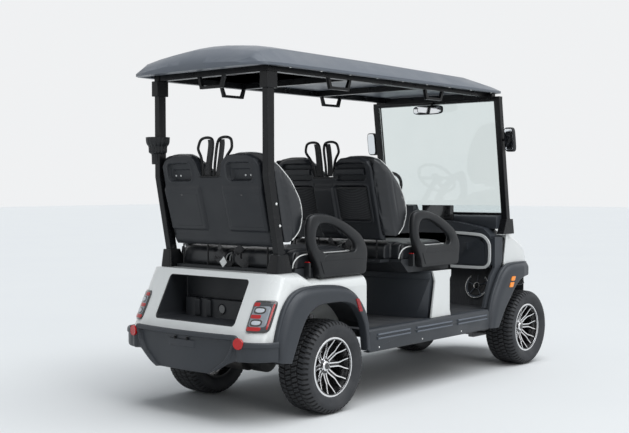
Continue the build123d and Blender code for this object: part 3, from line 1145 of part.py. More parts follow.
# Steering knuckles: upright, kingpin ends, steering arm and spindle
UPRIGHT_HALF = 25
UPRIGHT_LOW_Z = LOWER_ARM_Z + ARM_PLATE + 6
UPRIGHT_TOP_Z = UPPER_ARM_Z - 6
for name, s in SIDES:
    with BuildPart() as knuckle:
        block(FRONT_AXLE_X - UPRIGHT_HALF, FRONT_AXLE_X + UPRIGHT_HALF, s * (KINGPIN_Y - 18),
              s * (KINGPIN_Y + 20), UPRIGHT_LOW_Z, UPRIGHT_TOP_Z)
        rod((FRONT_AXLE_X, s * KINGPIN_Y, LOWER_ARM_Z - 4),
            (FRONT_AXLE_X, s * KINGPIN_Y, UPPER_ARM_Z + ARM_PLATE + 4), KINGPIN_RADIUS)
        block(RACK_X - 14, FRONT_AXLE_X, s * (KINGPIN_Y - 11), s * (KINGPIN_Y + 11), STEER_ARM_Z,
              STEER_ARM_Z + 16)
        rod((FRONT_AXLE_X, s * (KINGPIN_Y + 18), AXLE_Z), (FRONT_AXLE_X, s * (KINGPIN_Y + 28), AXLE_Z), 62,
            sides=24)
        rod((FRONT_AXLE_X, s * KINGPIN_Y, AXLE_Z), (FRONT_AXLE_X, s * (TRACK_HALF + SPINDLE_END), AXLE_Z),
            SPINDLE_RADIUS)
    knuckle.part.label = f"knuckle_{name}"
    export_step(knuckle.part, f"parts/knuckle_{name}.step")

# Steering rack with the tie rods and their eyes
EYE_RADIUS = 14
EYE_HEIGHT = STEER_ARM_Z - 2 - ROD_EYE_Z
with BuildPart() as tie_rods:
    rod((RACK_X, -KINGPIN_Y, RACK_Z), (RACK_X, KINGPIN_Y, RACK_Z), RACK_RADIUS)
    for name, s in SIDES:
        rod((RACK_X, s * KINGPIN_Y, ROD_EYE_Z), (RACK_X, s * KINGPIN_Y, ROD_EYE_Z + EYE_HEIGHT),
            EYE_RADIUS)
tie_rods.part.label = "tie_rods"
export_step(tie_rods.part, "parts/tie_rods.step")

# Wheels: a tyre with blocks on its tread and a spoked rim on each corner. Rows are radius and place
# across the wheel.
WHEEL_SIDES = 36
TREAD_RADIUS = TYRE_RADIUS - 8
LUG_WIDTH = 34
TYRE_ROWS = [(238, -TYRE_WIDTH / 2), (276, -118), (TREAD_RADIUS, -92), (TREAD_RADIUS, 92), (276, 118),
             (238, TYRE_WIDTH / 2)]
BEAD_ROWS = [(242, -TYRE_WIDTH / 2 - 2.5), (BEAD_RADIUS, -94), (BEAD_RADIUS, 94), (242, TYRE_WIDTH / 2 + 2.5)]
BARREL_OUTER = BEAD_RADIUS - SEAT_GAP
BARREL_INNER = BARREL_OUTER - RIM_WALL
BARREL_ROWS = [(BARREL_OUTER, -RIM_HALF_WIDTH), (BARREL_OUTER, 99), (RIM_LIP_RADIUS, 99.5),
               (RIM_LIP_RADIUS, RIM_HALF_WIDTH)]
HUB_ROWS = [(DRUM_RADIUS, DRUM_INNER), (DRUM_RADIUS, DRUM_OUTER), (HUB_RADIUS, HUB_FACE - SPOKE_THICKNESS),
            (HUB_RADIUS, HUB_FACE + 4)]
SPOKE_ROOT = 30
SPOKE_FORK = 104
SPOKE_END = BARREL_INNER + 1
STEM_HALF = 13
ARM_WIDTH = 10
ARM_SPLAY = 34
SPOKE_RISE = 55
CORNERS = (("rear_left", REAR_AXLE_X, 1), ("rear_right", REAR_AXLE_X, -1),
           ("front_left", FRONT_AXLE_X, 1), ("front_right", FRONT_AXLE_X, -1))
for corner, axle_x, s in CORNERS:
    centre = (axle_x, s * TRACK_HALF, AXLE_Z)
    wheel_plane = Plane(origin=centre, x_dir=(0, 0, 1), z_dir=(0, s, 0))

    with BuildPart() as tyre:
        add(faceted(wheel_plane, TYRE_ROWS, WHEEL_SIDES))
        lugs = []
        for index in range(WHEEL_SIDES):
            side = s if index % 2 else -s
            turned = Location(centre) * Rotation(0, index * 360 / WHEEL_SIDES, 0)
            lugs.append(turned * Location((0, side * 54, 8 - TYRE_RADIUS)))
        with Locations(*lugs):
            Box(LUG_WIDTH, 100, 16)
        add(faceted(wheel_plane, BEAD_ROWS, WHEEL_SIDES), mode=Mode.SUBTRACT)
    tyre.part.label = f"tyre_{corner}"
    export_step(tyre.part, f"parts/tyre_{corner}.step")

    with BuildPart() as rim:
        add(faceted(wheel_plane, BARREL_ROWS, WHEEL_SIDES))
        add(faceted(wheel_plane, [(BARREL_INNER, -RIM_HALF_WIDTH - 1), (BARREL_INNER, RIM_HALF_WIDTH + 1)],
                    WHEEL_SIDES), mode=Mode.SUBTRACT)
        add(faceted(wheel_plane, HUB_ROWS, 24))
        slope = degrees(atan2(SPOKE_RISE, SPOKE_END - SPOKE_ROOT))
        for index in range(SPOKE_COUNT):
            turn = index * 360 / SPOKE_COUNT
            along = Vector(0, 0, 1).rotate(Axis((0, 0, 0), (0, 1, 0)), turn)
            across = Vector(0, s, 0)
            run = along * cos(radians(slope)) + across * sin(radians(slope))
            face = across * cos(radians(slope)) - along * sin(radians(slope))
            origin = Vector(*centre) + along * SPOKE_ROOT + across * HUB_FACE
            stretch = 1 / cos(radians(slope))
            fork = (SPOKE_FORK - SPOKE_ROOT) * stretch
            end = (SPOKE_END - SPOKE_ROOT) * stretch
            with BuildSketch(Plane(origin=origin, x_dir=run, z_dir=face)) as spoke:
                Polygon((0, -STEM_HALF), (fork, -STEM_HALF), (end, -ARM_SPLAY - ARM_WIDTH / 2),
                        (end, -ARM_SPLAY + ARM_WIDTH / 2), (fork + 14, -2), (fork + 14, 2),
                        (end, ARM_SPLAY - ARM_WIDTH / 2), (end, ARM_SPLAY + ARM_WIDTH / 2),
                        (fork, STEM_HALF), (0, STEM_HALF), align=None)
            extrude(spoke.sketch, amount=-SPOKE_THICKNESS)
        rod((axle_x, s * (TRACK_HALF + DRUM_INNER - 10), AXLE_Z),
            (axle_x, s * (TRACK_HALF + SPINDLE_END + 2), AXLE_Z), SPINDLE_RADIUS + SEAT_GAP,
            mode=Mode.SUBTRACT)
    rim.part.label = f"rim_{corner}"
    export_step(rim.part, f"parts/rim_{corner}.step")
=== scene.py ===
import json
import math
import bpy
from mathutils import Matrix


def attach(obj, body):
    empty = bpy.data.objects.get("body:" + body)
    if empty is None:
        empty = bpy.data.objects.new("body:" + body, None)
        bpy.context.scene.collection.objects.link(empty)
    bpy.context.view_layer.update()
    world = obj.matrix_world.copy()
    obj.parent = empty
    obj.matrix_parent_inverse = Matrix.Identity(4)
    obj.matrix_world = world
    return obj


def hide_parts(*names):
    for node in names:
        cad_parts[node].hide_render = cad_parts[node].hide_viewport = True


bl_info = {
    "name": "Electric utility vehicle",
    "version": (1, 0, 0),
    "blender": (4, 5, 0),
    "location": "View3D > Sidebar > Vehicle",
    "description": "Dresses the packed vehicle with bodywork, wheels, seats and lamps in a studio",
    "category": "Object",
}

import bmesh
import bpy
import numpy as np
from bpy.props import FloatProperty, FloatVectorProperty, IntProperty, PointerProperty
from mathutils import Matrix, Vector

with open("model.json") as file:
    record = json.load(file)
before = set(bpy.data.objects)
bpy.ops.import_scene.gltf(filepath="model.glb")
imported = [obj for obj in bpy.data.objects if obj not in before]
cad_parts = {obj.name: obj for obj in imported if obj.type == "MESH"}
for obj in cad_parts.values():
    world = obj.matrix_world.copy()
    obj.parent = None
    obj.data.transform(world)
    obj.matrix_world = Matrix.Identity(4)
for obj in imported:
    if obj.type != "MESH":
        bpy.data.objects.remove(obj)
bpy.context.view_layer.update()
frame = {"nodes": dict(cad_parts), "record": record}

# Places along the vehicle, in metres. Most lengths below are measured from the rear axle.
REAR_AXLE_X = -1.165
FRONT_AXLE_X = 1.295
AXLE_Z = 0.296
TRACK_HALF = 0.515
SEAT_PITCH = 1.115
SIDES = (("left", 1.0), ("right", -1.0))
CORNERS = (("rear_left", REAR_AXLE_X, 1.0), ("rear_right", REAR_AXLE_X, -1.0),
           ("front_left", FRONT_AXLE_X, 1.0), ("front_right", FRONT_AXLE_X, -1.0))
ROWS = (("rear", 0.0), ("front", SEAT_PITCH))


# ---- Shapes as arrays ----

class Shape:
    """Surfaces gathered as arrays of vertices and faces, each with the number of its finish."""

    def __init__(self):
        self.points = []
        self.faces = []
        self.finishes = []
        self.count = 0

    def add(self, surface, finish=0):
        """Appends one surface, its faces numbered on from those before it."""
        points, groups = surface
        points = np.asarray(points, float).reshape(-1, 3)
        for group in groups:
            group = np.asarray(group, np.int64)
            self.faces.append(group + self.count)
            self.finishes.append(np.full(len(group), finish, np.int32))
        self.points.append(points)
        self.count += len(points)
        return self


def placed(name, mesh, finishes, body, replaces, sharp):
    """A mesh as an object that rides on a body, in its finishes; edges over the sharp angle stay crisp."""
    mesh.polygons.foreach_set("use_smooth", np.full(len(mesh.polygons), True))
    mesh.set_sharp_from_angle(angle=math.radians(sharp))
    keys = finishes.split()
    for key in keys:
        mesh.materials.append(FINISHES[key])
    piece = bpy.data.objects.new(name, mesh)
    bpy.context.scene.collection.objects.link(piece)
    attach(piece, body)
    if replaces:
        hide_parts(*replaces)
    return piece


def build(name, shape, finishes, body="body", replaces=(), sharp=40.0):
    """The shape as one piece. Its finishes are keys in one string, in the order of their numbers."""
    points = np.concatenate(shape.points)
    corners = np.concatenate([g.reshape(-1) for g in shape.faces])
    totals = np.concatenate([np.full(len(g), g.shape[1], np.int32) for g in shape.faces])
    mesh = bpy.data.meshes.new(name)
    mesh.vertices.add(len(points))
    mesh.vertices.foreach_set("co", points.astype(np.float32).reshape(-1))
    mesh.loops.add(len(corners))
    mesh.loops.foreach_set("vertex_index", corners.astype(np.int32))
    mesh.polygons.add(len(totals))
    mesh.polygons.foreach_set("loop_start", np.concatenate([[0], np.cumsum(totals)[:-1]]).astype(np.int32))
    mesh.polygons.foreach_set("material_index", np.concatenate(shape.finishes))
    mesh.update(calc_edges=True)
    mesh.validate()
    return placed(name, mesh, finishes, body, replaces, sharp)


def bevel(piece, width, segments=3, angle=35.0):
    """Rounds every edge of a piece that is sharper than the angle."""
    rounding = piece.modifiers.new("rounded_edges", "BEVEL")
    rounding.width = width
    rounding.segments = segments
    rounding.limit_method = "ANGLE"
    rounding.angle_limit = math.radians(angle)
    rounding.harden_normals = False
    rounding.miter_outer = "MITER_ARC"
    return rounding


def fetched(items, key, width=1, kind=float):
    """One value, or one row of values, for every item of a mesh."""
    values = np.zeros(len(items) * width, kind)
    items.foreach_get(key, values)
    return values.reshape(-1, width) if width > 1 else values


def broadened(mesh, rounding, angle, broad):
    """Rounds some edges wider. An edge counts when its two faces' normals differ by more than the
    angle, which is the arc cosine of their dot product. Its weight is then the number that broad
    gives for its middle, as a share of the largest."""
    loops = len(mesh.loops)
    edge_of = fetched(mesh.loops, "edge_index", kind=np.int32)
    starts = fetched(mesh.polygons, "loop_start", kind=np.int32)
    face_of = np.searchsorted(starts, np.arange(loops), side="right") - 1
    order = np.argsort(edge_of, kind="stable")
    first = np.searchsorted(edge_of[order], np.arange(len(mesh.edges)))
    pair = order[np.stack([first, np.minimum(first + 1, loops - 1)])]
    turn = fetched(mesh.polygons, "normal", 3)[face_of[pair]]
    crease = np.degrees(np.arccos(np.clip((turn[0] * turn[1]).sum(1), -1, 1)))
    middle = fetched(mesh.vertices, "co", 3)[fetched(mesh.edges, "vertices", 2, np.int32)].mean(1)
    scale = broad(middle)
    weight = mesh.attributes.new("bevel_weight_edge", "FLOAT", "EDGE")
    weight.data.foreach_set("value", np.where(crease > angle, scale, 0.0) / scale.max())
    rounding.limit_method = "WEIGHT"
    rounding.width *= scale.max()
    rounding.segments += 2


def softened(node, finish, width, angle=35.0, broad=None):
    """A copy of a CAD node with its doubles merged, its flat faces joined and its edges rounded."""
    form = bmesh.new()
    form.from_mesh(frame["nodes"][node].data)
    bmesh.ops.remove_doubles(form, verts=form.verts, dist=2e-6)
    bmesh.ops.dissolve_limit(form, angle_limit=math.radians(0.6), verts=form.verts, edges=form.edges)
    mesh = bpy.data.meshes.new(node + "_shell")
    form.to_mesh(mesh)
    form.free()
    piece = placed(node + "_shell", mesh, finish, BODY_OF[node], (node,), 40.0)
    rounding = bevel(piece, width, 2, angle)
    if broad:
        broadened(mesh, rounding, angle, broad)


def spline(points, count, closed=False):
    """A smooth line through the points: between two points it is the cubic whose slopes at both
    ends are half the chord of the neighbours. It is sampled evenly in its parameter."""
    points = np.asarray(points, float)
    n = len(points)
    if closed:
        t = np.arange(count) * n / count
        index = np.floor(t).astype(int)
        near = [points[(index + k) % n] for k in (-1, 0, 1, 2)]
    else:
        t = np.linspace(0, n - 1, count)
        index = np.minimum(np.floor(t).astype(int), n - 2)
        padded = np.vstack([2 * points[0] - points[1], points, 2 * points[-1] - points[-2]])
        near = [padded[index + k] for k in range(4)]
    u = (t - index)[:, None]
    a, b, c, d = near
    return 0.5 * (2 * b + (c - a) * u + (2 * a - 5 * b + 4 * c - d) * u ** 2
                  + (3 * b - a - 3 * c + d) * u ** 3)


def evenly(points, count):
    """The same line with its samples spread evenly along its length."""
    lengths = np.concatenate([[0], np.cumsum(np.linalg.norm(np.diff(points, axis=0), axis=1))])
    wanted = np.linspace(0, lengths[-1], count)
    return np.stack([np.interp(wanted, lengths, points[:, k]) for k in range(points.shape[1])], 1)


def step(value, width):
    """A smooth step from 0 to 1 as the value goes from minus to plus half the width."""
    t = np.clip(value / width + 0.5, 0, 1)
    return t * t * (3 - 2 * t)


def inside(y, z, middle, half, radius):
    """How far a point lies inside a rectangle with rounded corners, negative outside."""
    dy = np.abs(y - middle[0]) - (half[0] - radius)
    dz = np.abs(z - middle[1]) - (half[1] - radius)
    outside = np.hypot(np.maximum(dy, 0), np.maximum(dz, 0))
    return radius - outside - np.minimum(np.maximum(dy, dz), 0)


def sheet(points, wrap_u=False, wrap_v=False, flip=False):
    """The faces of a grid of points, its edges joined where it wraps."""
    points = np.asarray(points, float)
    nu, nv = points.shape[:2]
    i = np.arange(nu if wrap_u else nu - 1)[:, None]
    j = np.arange(nv if wrap_v else nv - 1)[None, :]
    i1, j1 = (i + 1) % nu, (j + 1) % nv
    faces = np.stack([i * nv + j, i1 * nv + j, i1 * nv + j1, i * nv + j1], -1).reshape(-1, 4)
    if flip:
        faces = faces[:, ::-1]
    return points.reshape(-1, 3), [faces]


def capped(points):
    """A grid that wraps in u, closed at both ends of v by one flat face each."""
    nu, nv = points.shape[:2]
    flat, groups = sheet(points, wrap_u=True)
    first = (np.arange(nu) * nv)[None, :]
    return flat, groups + [first, (first + nv - 1)[:, ::-1]]


def swept(path, outline, up=(0, 0, 1)):
    """An outline carried along a path: each point is the path's point plus the outline's first
    number across it and its second number above it. Across is the cross product of the direction
    of travel with up, and above is the cross product of the two."""
    path = np.asarray(path, float)
    outline = np.asarray(outline, float)[:, :, None, None]
    along = np.gradient(path, axis=0)
    along /= np.linalg.norm(along, axis=1)[:, None]
    side = np.cross(along, np.broadcast_to(np.asarray(up, float), path.shape))
    side /= np.maximum(np.linalg.norm(side, axis=1), 1e-9)[:, None]
    return capped(path + outline[:, 0] * side + outline[:, 1] * np.cross(side, along))


def round_angles(count):
    """Angles spread evenly round a circle."""
    return np.arange(count) * 2 * np.pi / count


def tube(path, radius, count=10, up=(0, 0, 1)):
    """A round bar along a path: its outline is the cosine and sine of even angles times the radius."""
    angle = round_angles(count)
    return swept(path, np.stack([np.cos(angle), np.sin(angle)], 1) * radius, up)


def turned(profile, centre, axis, count=48):
    """A profile of (radius, place along the axis) turned about an axis: at each angle the ray is its
    cosine times one direction across the axis plus its sine times the other."""
    profile = np.asarray(profile, float)
    axis = np.asarray(axis, float) / np.linalg.norm(axis)
    first = np.cross(np.cross(axis, (0, 0, 1)), axis)
    if np.linalg.norm(first) < 1e-6:
        first = np.cross(np.cross(axis, (1, 0, 0)), axis)
    first = first / np.linalg.norm(first)
    second = np.cross(axis, first)
    angle = round_angles(count)[:, None]
    ray = np.cos(angle) * first + np.sin(angle) * second
    grid = (np.asarray(centre, float) + profile[None, :, 0, None] * ray[:, None, :]
            + profile[None, :, 1, None] * axis)
    return sheet(grid, wrap_u=True)


def prism(outline, low, high, plane="xz"):
    """A flat outline carried straight from low to high, across the plane it is drawn in. The sign
    of the outline's area tells which way its faces have to turn."""
    outline = np.asarray(outline, float)
    area = np.sum(outline[:, 0] * np.roll(outline[:, 1], -1) - np.roll(outline[:, 0], -1) * outline[:, 1])
    axes = {"xz": (0, 2, 1), "yz": (1, 2, 0)}[plane]
    n = len(outline)
    points = np.zeros((2, n, 3))
    points[:, :, axes[0]] = outline[:, 0]
    points[:, :, axes[1]] = outline[:, 1]
    points[0, :, axes[2]] = low
    points[1, :, axes[2]] = high
    ring = np.arange(n)
    after = (ring + 1) % n
    groups = [np.stack([ring, after, after + n, ring + n], 1), ring[::-1][None, :], (ring + n)[None, :]]
    if (area > 0) == (plane == "xz"):
        groups = [group[:, ::-1] for group in groups]
    return points.reshape(-1, 3), groups


def moved(surface, distance):
    """The surface moved forward along the vehicle."""
    points, groups = surface
    return points + (distance, 0, 0), groups


def brick(low, high):
    """A box between two corners."""
    (x0, y0, z0), (x1, y1, z1) = low, high
    return prism([(x0, z0), (x1, z0), (x1, z1), (x0, z1)], min(y0, y1), max(y0, y1))


def mirrored(surface):
    """The surface reflected to the other side of the vehicle, its faces turned to match."""
    points, groups = surface
    return points * (1, -1, 1), [g[:, ::-1] for g in groups]


def both(surface):
    """The surface with its mirror image."""
    points, groups = surface
    other, turned_groups = mirrored(surface)
    return np.concatenate([points, other]), groups + [g + len(points) for g in turned_groups]


def outward(surface):
    """A closed surface with its faces turned outwards: the volume that its faces enclose, a third of
    the sum of each corner's dot product with the cross product of the next two, is made positive."""
    points, groups = surface
    middle = points.mean(0)
    volume = 0.0
    for group in groups:
        at = points[group] - middle
        for k in range(1, group.shape[1] - 1):
            volume += np.einsum("ij,ij->i", at[:, 0], np.cross(at[:, k], at[:, k + 1])).sum()
    return (points, groups) if volume >= 0 else (points, [g[:, ::-1] for g in groups])


def superellipse(angle, power):
    """The signed powers, two over the given one, of the cosine and the sine."""
    return [np.sign(part) * np.abs(part) ** (2 / power) for part in (np.cos(angle), np.sin(angle))]


def rear(x):
    """A place measured forward from the rear axle."""
    return REAR_AXLE_X + x


def front(x):
    """A place measured forward from the front axle."""
    return FRONT_AXLE_X + x


# ---- Finishes ----

FINISHES = {}


class Finish:
    """A material on the shader's own sockets, with short ways to add the nodes of its pattern."""

    def __init__(self, key, name, colour, roughness, metallic=0.0, **sockets):
        material = FINISHES[key] = bpy.data.materials.new(name)
        material.use_nodes = True
        self.tree = material.node_tree
        self.shader = self.tree.nodes["Principled BSDF"]
        self.roughness = roughness
        self.colour = (*colour[:3], 1.0)
        self.shader.inputs["Base Color"].default_value = self.colour
        self.shader.inputs["Roughness"].default_value = roughness
        self.shader.inputs["Metallic"].default_value = metallic
        for socket, value in sockets.items():
            self.shader.inputs[socket.replace("_", " ")].default_value = value
        self.place = self.tree.nodes.new("ShaderNodeTexCoord").outputs["Object"]
        self.normal = None

    def node(self, kind, inputs=(), **settings):
        """A new node with its settings, each input joined to a socket or given a value."""
        node = self.tree.nodes.new("ShaderNode" + kind)
        for key, value in settings.items():
            setattr(node, key, value)
        for key, value in dict(inputs).items():
            if isinstance(value, bpy.types.NodeSocket):
                self.tree.links.new(value, node.inputs[key])
            else:
                node.inputs[key].default_value = value
        return node

    def noise(self, scale, detail=3.0, roughness=0.5, stretch=None):
        """Cloudy noise over the object's own space, stretched if asked."""
        place = self.place
        if stretch:
            place = self.node("Mapping", {"Vector": place, "Scale": stretch}).outputs["Vector"]
        return self.node("TexNoise", {"Vector": place, "Scale": scale, "Detail": detail,
                                      "Roughness": roughness}).outputs["Fac"]

    def cells(self, scale, feature="F1", randomness=0.0):
        """The distance to the nearest of many points, on a lattice or scattered."""
        return self.node("TexVoronoi", {"Vector": self.place, "Scale": scale, "Randomness": randomness},
                         feature=feature).outputs["Distance"]

    def waves(self, scale, distortion, direction):
        """Soft parallel bands."""
        return self.node("TexWave", {"Vector": self.place, "Scale": scale, "Distortion": distortion},
                         bands_direction=direction).outputs["Fac"]

    def between(self, value, low, high, to_low=0.0, to_high=1.0):
        """A value spread from one range to another, held at its ends."""
        return self.node("MapRange", {"Value": value, "From Min": low, "From Max": high,
                                      "To Min": to_low, "To Max": to_high}).outputs["Result"]

    def tinted(self, value, low, high, share, colour):
        """Moves the colour towards another, by up to the share as the value goes from low to high."""
        before = self.shader.inputs["Base Color"]
        start = before.links[0].from_socket if before.links else self.colour
        amount = self.between(value, low, high, 0.0, share)
        mix = self.node("Mix", {0: amount, 6: start, 7: (*colour, 1.0)}, data_type="RGBA")
        self.tree.links.new(mix.outputs[2], before)

    def worn(self, value, less, more):
        """Roughness that follows a value, from a little less to a little more than its own."""
        self.tree.links.new(self.between(value, 0.3, 0.7, self.roughness - less, self.roughness + more),
                            self.shader.inputs["Roughness"])

    def raised(self, height, distance, strength=1.0):
        """Fine relief added to the surface, a distance high in metres."""
        bump = self.node("Bump", {"Height": height, "Distance": distance, "Strength": strength})
        if self.normal:
            self.tree.links.new(self.normal, bump.inputs["Normal"])
        self.normal = bump.outputs["Normal"]
        self.tree.links.new(self.normal, self.shader.inputs["Normal"])


def scaled(colour, factor, added=0.0):
    """A colour times a factor, plus a little of each."""
    return tuple(c * factor + added for c in colour)


def moulded(key, name, colour, roughness, grain=1500.0, depth=0.00012, dust=0.0):
    """Moulded plastic: fine grain, a little cloudiness in its sheen, and pale dust if asked."""
    finish = Finish(key, name, colour, roughness, Specular_IOR_Level=0.35)
    finish.worn(finish.noise(5.0), 0.06, 0.07)
    finish.tinted(finish.noise(2.3, 5.0), 0.42, 0.75, 0.35 + dust, scaled(colour, 0.72, 0.035))
    finish.raised(finish.noise(grain, 2.0), depth, 0.7)


def leather(key, name, colour, roughness):
    """Upholstery vinyl: pebbled grain over faint soft wrinkles."""
    finish = Finish(key, name, colour, roughness, Sheen_Weight=0.06)
    finish.worn(finish.noise(9.0), 0.05, 0.08)
    finish.tinted(finish.noise(3.0, 4.0), 0.4, 0.8, 0.4, scaled(colour, 1.7, 0.003))
    finish.raised(finish.noise(22.0, 2.0), 0.0016, 0.35)
    finish.raised(finish.cells(620.0, "SMOOTH_F1", 1.0), 0.0003, 0.6)


def bare_metal(key, name, colour, roughness):
    """Turned or drawn metal with fine scratches."""
    finish = Finish(key, name, colour, roughness, 1.0)
    finish.worn(finish.noise(30.0, 4.0), 0.05, 0.1)
    finish.raised(finish.noise(260.0, 2.0, 0.6, (1.0, 1.0, 9.0)), 0.00006, 0.5)


def lens(key, name, colour, roughness=0.12, painted_glow=0.0, prisms=0.0):
    """A coloured lamp lens with the faint painted glow it is given, and moulded prisms behind its gloss if
    asked.
    """
    finish = Finish(key, name, colour, roughness, Coat_Weight=0.35, Coat_Roughness=0.04,
                    Specular_IOR_Level=0.35)
    finish.shader.inputs["Emission Color"].default_value = (*colour, 1.0)
    finish.shader.inputs["Emission Strength"].default_value = painted_glow
    finish.tinted(finish.noise(40.0), 0.3, 0.7, 0.25, scaled(colour, 0.6))
    if prisms:
        finish.raised(finish.cells(prisms), 0.0006, 0.6)


def make_finishes(look):
    """Every finish of the vehicle, from the colours in the panel."""
    body = Finish("paint", "white_body_paint", look.paint, 0.32, Coat_Weight=0.5, Coat_Roughness=0.08)
    body.worn(body.noise(4.0), 0.06, 0.08)
    height = body.node("SeparateXYZ", {"Vector": body.place}).outputs["Z"]
    splashes = body.node("Math", {0: body.between(height, 0.48, 0.72, 1.0, 0.0), 1: body.noise(14.0, 5.0)},
                         operation="MULTIPLY").outputs[0]
    body.tinted(splashes, 0.25, 0.75, 0.35, (0.52, 0.51, 0.47))
    body.raised(body.noise(90.0, 1.0), 0.0004, 0.12)

    moulded("plastic", "charcoal_plastic", look.plastic, 0.44)
    # The roof plastic is the charcoal plastic made 3.4 times lighter: painted sheen that stands in for the
    # sky's reflection on the roof.
    moulded("roof", "roof_plastic_painted_sheen", scaled(look.plastic, 3.4), 0.36, 900.0, 0.0002, 0.15)
    moulded("inner", "inner_plastic", scaled(look.plastic, 0.42), 0.5)
    moulded("black", "soft_black_plastic", (0.0085, 0.0095, 0.0110), 0.42, 1100.0, 0.0002)
    moulded("shell", "seat_shell_plastic", (0.015, 0.0172, 0.0212), 0.46, 1000.0, 0.00025)

    steel = Finish("steel", "black_powder_coat", (0.006, 0.0064, 0.0075), 0.3, Specular_IOR_Level=0.25)
    steel.worn(steel.noise(12.0), 0.06, 0.08)
    steel.tinted(steel.noise(30.0, 5.0), 0.55, 0.85, 0.35, (0.035, 0.034, 0.033))
    steel.raised(steel.noise(700.0, 2.0), 0.0002, 0.3)

    chassis = Finish("frame", "dusty_frame_steel", (0.018, 0.018, 0.019), 0.6)
    chassis.tinted(chassis.noise(11.0, 6.0), 0.45, 0.8, 0.8, (0.09, 0.083, 0.075))
    chassis.raised(chassis.noise(160.0, 4.0), 0.0006, 0.3)

    leather("vinyl", "dark_seat_vinyl", look.vinyl, 0.36)
    leather("piping", "white_piping", look.piping, 0.4)

    mat = Finish("mat", "ribbed_floor_mat", (0.03, 0.032, 0.036), 0.62)
    mat.tinted(mat.noise(7.0, 6.0), 0.45, 0.75, 0.5, (0.085, 0.085, 0.083))
    mat.raised(mat.waves(18.0, 0.0, "Y"), 0.0015, 0.6)

    glass = Finish("glass", "tinted_glass", (0.78, 0.84, 0.83), 0.02, Transmission_Weight=1.0, IOR=1.45)
    glass.tinted(glass.noise(1.7), 0.4, 0.7, 0.3, (0.66, 0.74, 0.74))
    mirror = Finish("mirror", "mirror_glass", (0.8, 0.82, 0.84), 0.03, 1.0)
    mirror.worn(mirror.noise(40.0), 0.01, 0.02)

    alloy = Finish("alloy", "machined_alloy", look.alloy, 0.2, 1.0)
    alloy.worn(alloy.noise(60.0, 3.0), 0.04, 0.1)
    alloy.raised(alloy.noise(900.0, 2.0), 0.00005, 0.5)
    dark = Finish("dark_alloy", "black_alloy", (0.009, 0.009, 0.0095), 0.22, Coat_Weight=0.8,
                  Coat_Roughness=0.08)
    dark.tinted(dark.noise(25.0, 5.0), 0.5, 0.85, 0.5, (0.05, 0.048, 0.045))

    rubber = Finish("rubber", "tyre_rubber", (0.029, 0.0305, 0.034), 0.6, Specular_IOR_Level=0.4)
    rubber.worn(rubber.noise(14.0, 4.0), 0.02, 0.2)
    rubber.tinted(rubber.noise(9.0, 7.0, 0.6), 0.42, 0.78, 0.55, (0.062, 0.062, 0.063))
    # Each tyre's groove depth darkens the rubber in its grooves: painted shade in the tread's recesses.
    groove_shade = rubber.node("Attribute", attribute_name="groove_shade").outputs["Fac"]
    rubber.tinted(groove_shade, 0.0008, 0.0055, 0.92, (0.004, 0.004, 0.0045))
    rubber.raised(rubber.noise(420.0, 3.0), 0.0004, 0.4)

    # The fifth number of each lens is a faint emission: painted glow that brightens the lens, the reflectors
    # too.
    for key, name, colour, roughness, painted_glow, prisms in (
            ("red", "red_lens", (0.40, 0.004, 0.006), 0.14, 0.06, 0.0),
            ("reflector", "red_reflector", (0.50, 0.005, 0.006), 0.16, 0.05, 260.0),
            ("marker", "dark_red_marker", (0.3, 0.008, 0.012), 0.2, 0.1, 240.0),
            ("amber", "amber_lens", (0.9, 0.27, 0.02), 0.18, 0.2, 240.0),
            ("lamp_white", "pale_lamp_lens", (0.24, 0.26, 0.29), 0.1, 0.0, 300.0),
            ("lamp_clear", "bright_lamp_core", (0.50, 0.53, 0.57), 0.08, 0.05, 300.0),
            ("smoke", "smoked_lens", (0.05, 0.052, 0.058), 0.12, 0.0, 0.0)):
        lens(key, name, colour, roughness, painted_glow, prisms)
    bare_metal("bowl", "lamp_bowl", (0.85, 0.86, 0.88), 0.12)
    bare_metal("zinc", "zinc_screws", (0.78, 0.78, 0.76), 0.3)
    bare_metal("spring_steel", "worn_steel", (0.25, 0.25, 0.26), 0.45)
    gloss = Finish("gloss", "gloss_black", (0.006, 0.006, 0.007), 0.08, Coat_Weight=1.0, Coat_Roughness=0.02)
    gloss.worn(gloss.noise(18.0), 0.02, 0.06)

    band = Finish("webbing", "belt_webbing", (0.011, 0.011, 0.012), 0.7, Sheen_Weight=0.15)
    weave = band.waves(260.0, 0.6, "DIAGONAL")
    band.raised(weave, 0.0004, 0.7)
    band.tinted(weave, 0.2, 0.8, 0.5, (0.03, 0.03, 0.032))

    net = Finish("net", "mesh_pocket", (0.006, 0.006, 0.007), 0.85)
    knots = net.cells(210.0, randomness=0.15)
    net.tinted(knots, 0.3, 0.6, 1.0, (0.05, 0.052, 0.056))
    net.raised(knots, 0.001, 0.8)

    cloth = Finish("cloth", "speaker_cloth", (0.01, 0.01, 0.011), 0.75)
    holes = cloth.cells(420.0)
    cloth.tinted(holes, 0.25, 0.5, 1.0, (0.045, 0.046, 0.05))
    cloth.raised(holes, 0.0008, 0.8)


BODY_OF = {node: body for body, nodes in frame["record"]["behaviour"]["bodies"].items() for node in nodes}


# ---- Wheels ----

TREAD_HALF = 0.094
GROOVE_DEPTH = 0.0095
SHOULDER_DEPTH = 0.0075
BEAD_RADIUS = 0.1842
STEPS_PER_PITCH = 8
# The grooves round the tyre, and for the four ribs between them the shift and slant of each pitch.
GROOVE_PLACES = (-0.05, 0.0, 0.05)
GROOVE_WIDTHS = (0.0075, 0.006, 0.0075)
RIB_SHIFTS = (0.0, 0.5, 0.2, 0.7)
RIB_SLANTS = (7.0, -9.0, -9.0, 7.0)
TYRE_HALF_SECTION = [(BEAD_RADIUS, 0.0945), (0.1915, 0.1045), (0.1985, 0.1105), (0.208, 0.1155),
                     (0.222, 0.1215), (0.238, 0.1255), (0.252, 0.1255), (0.266, 0.1215), (0.278, 0.1145),
                     (0.2868, 0.105), (0.2918, 0.093), (0.2938, 0.078), (0.2952, 0.05), (0.2958, 0.02)]


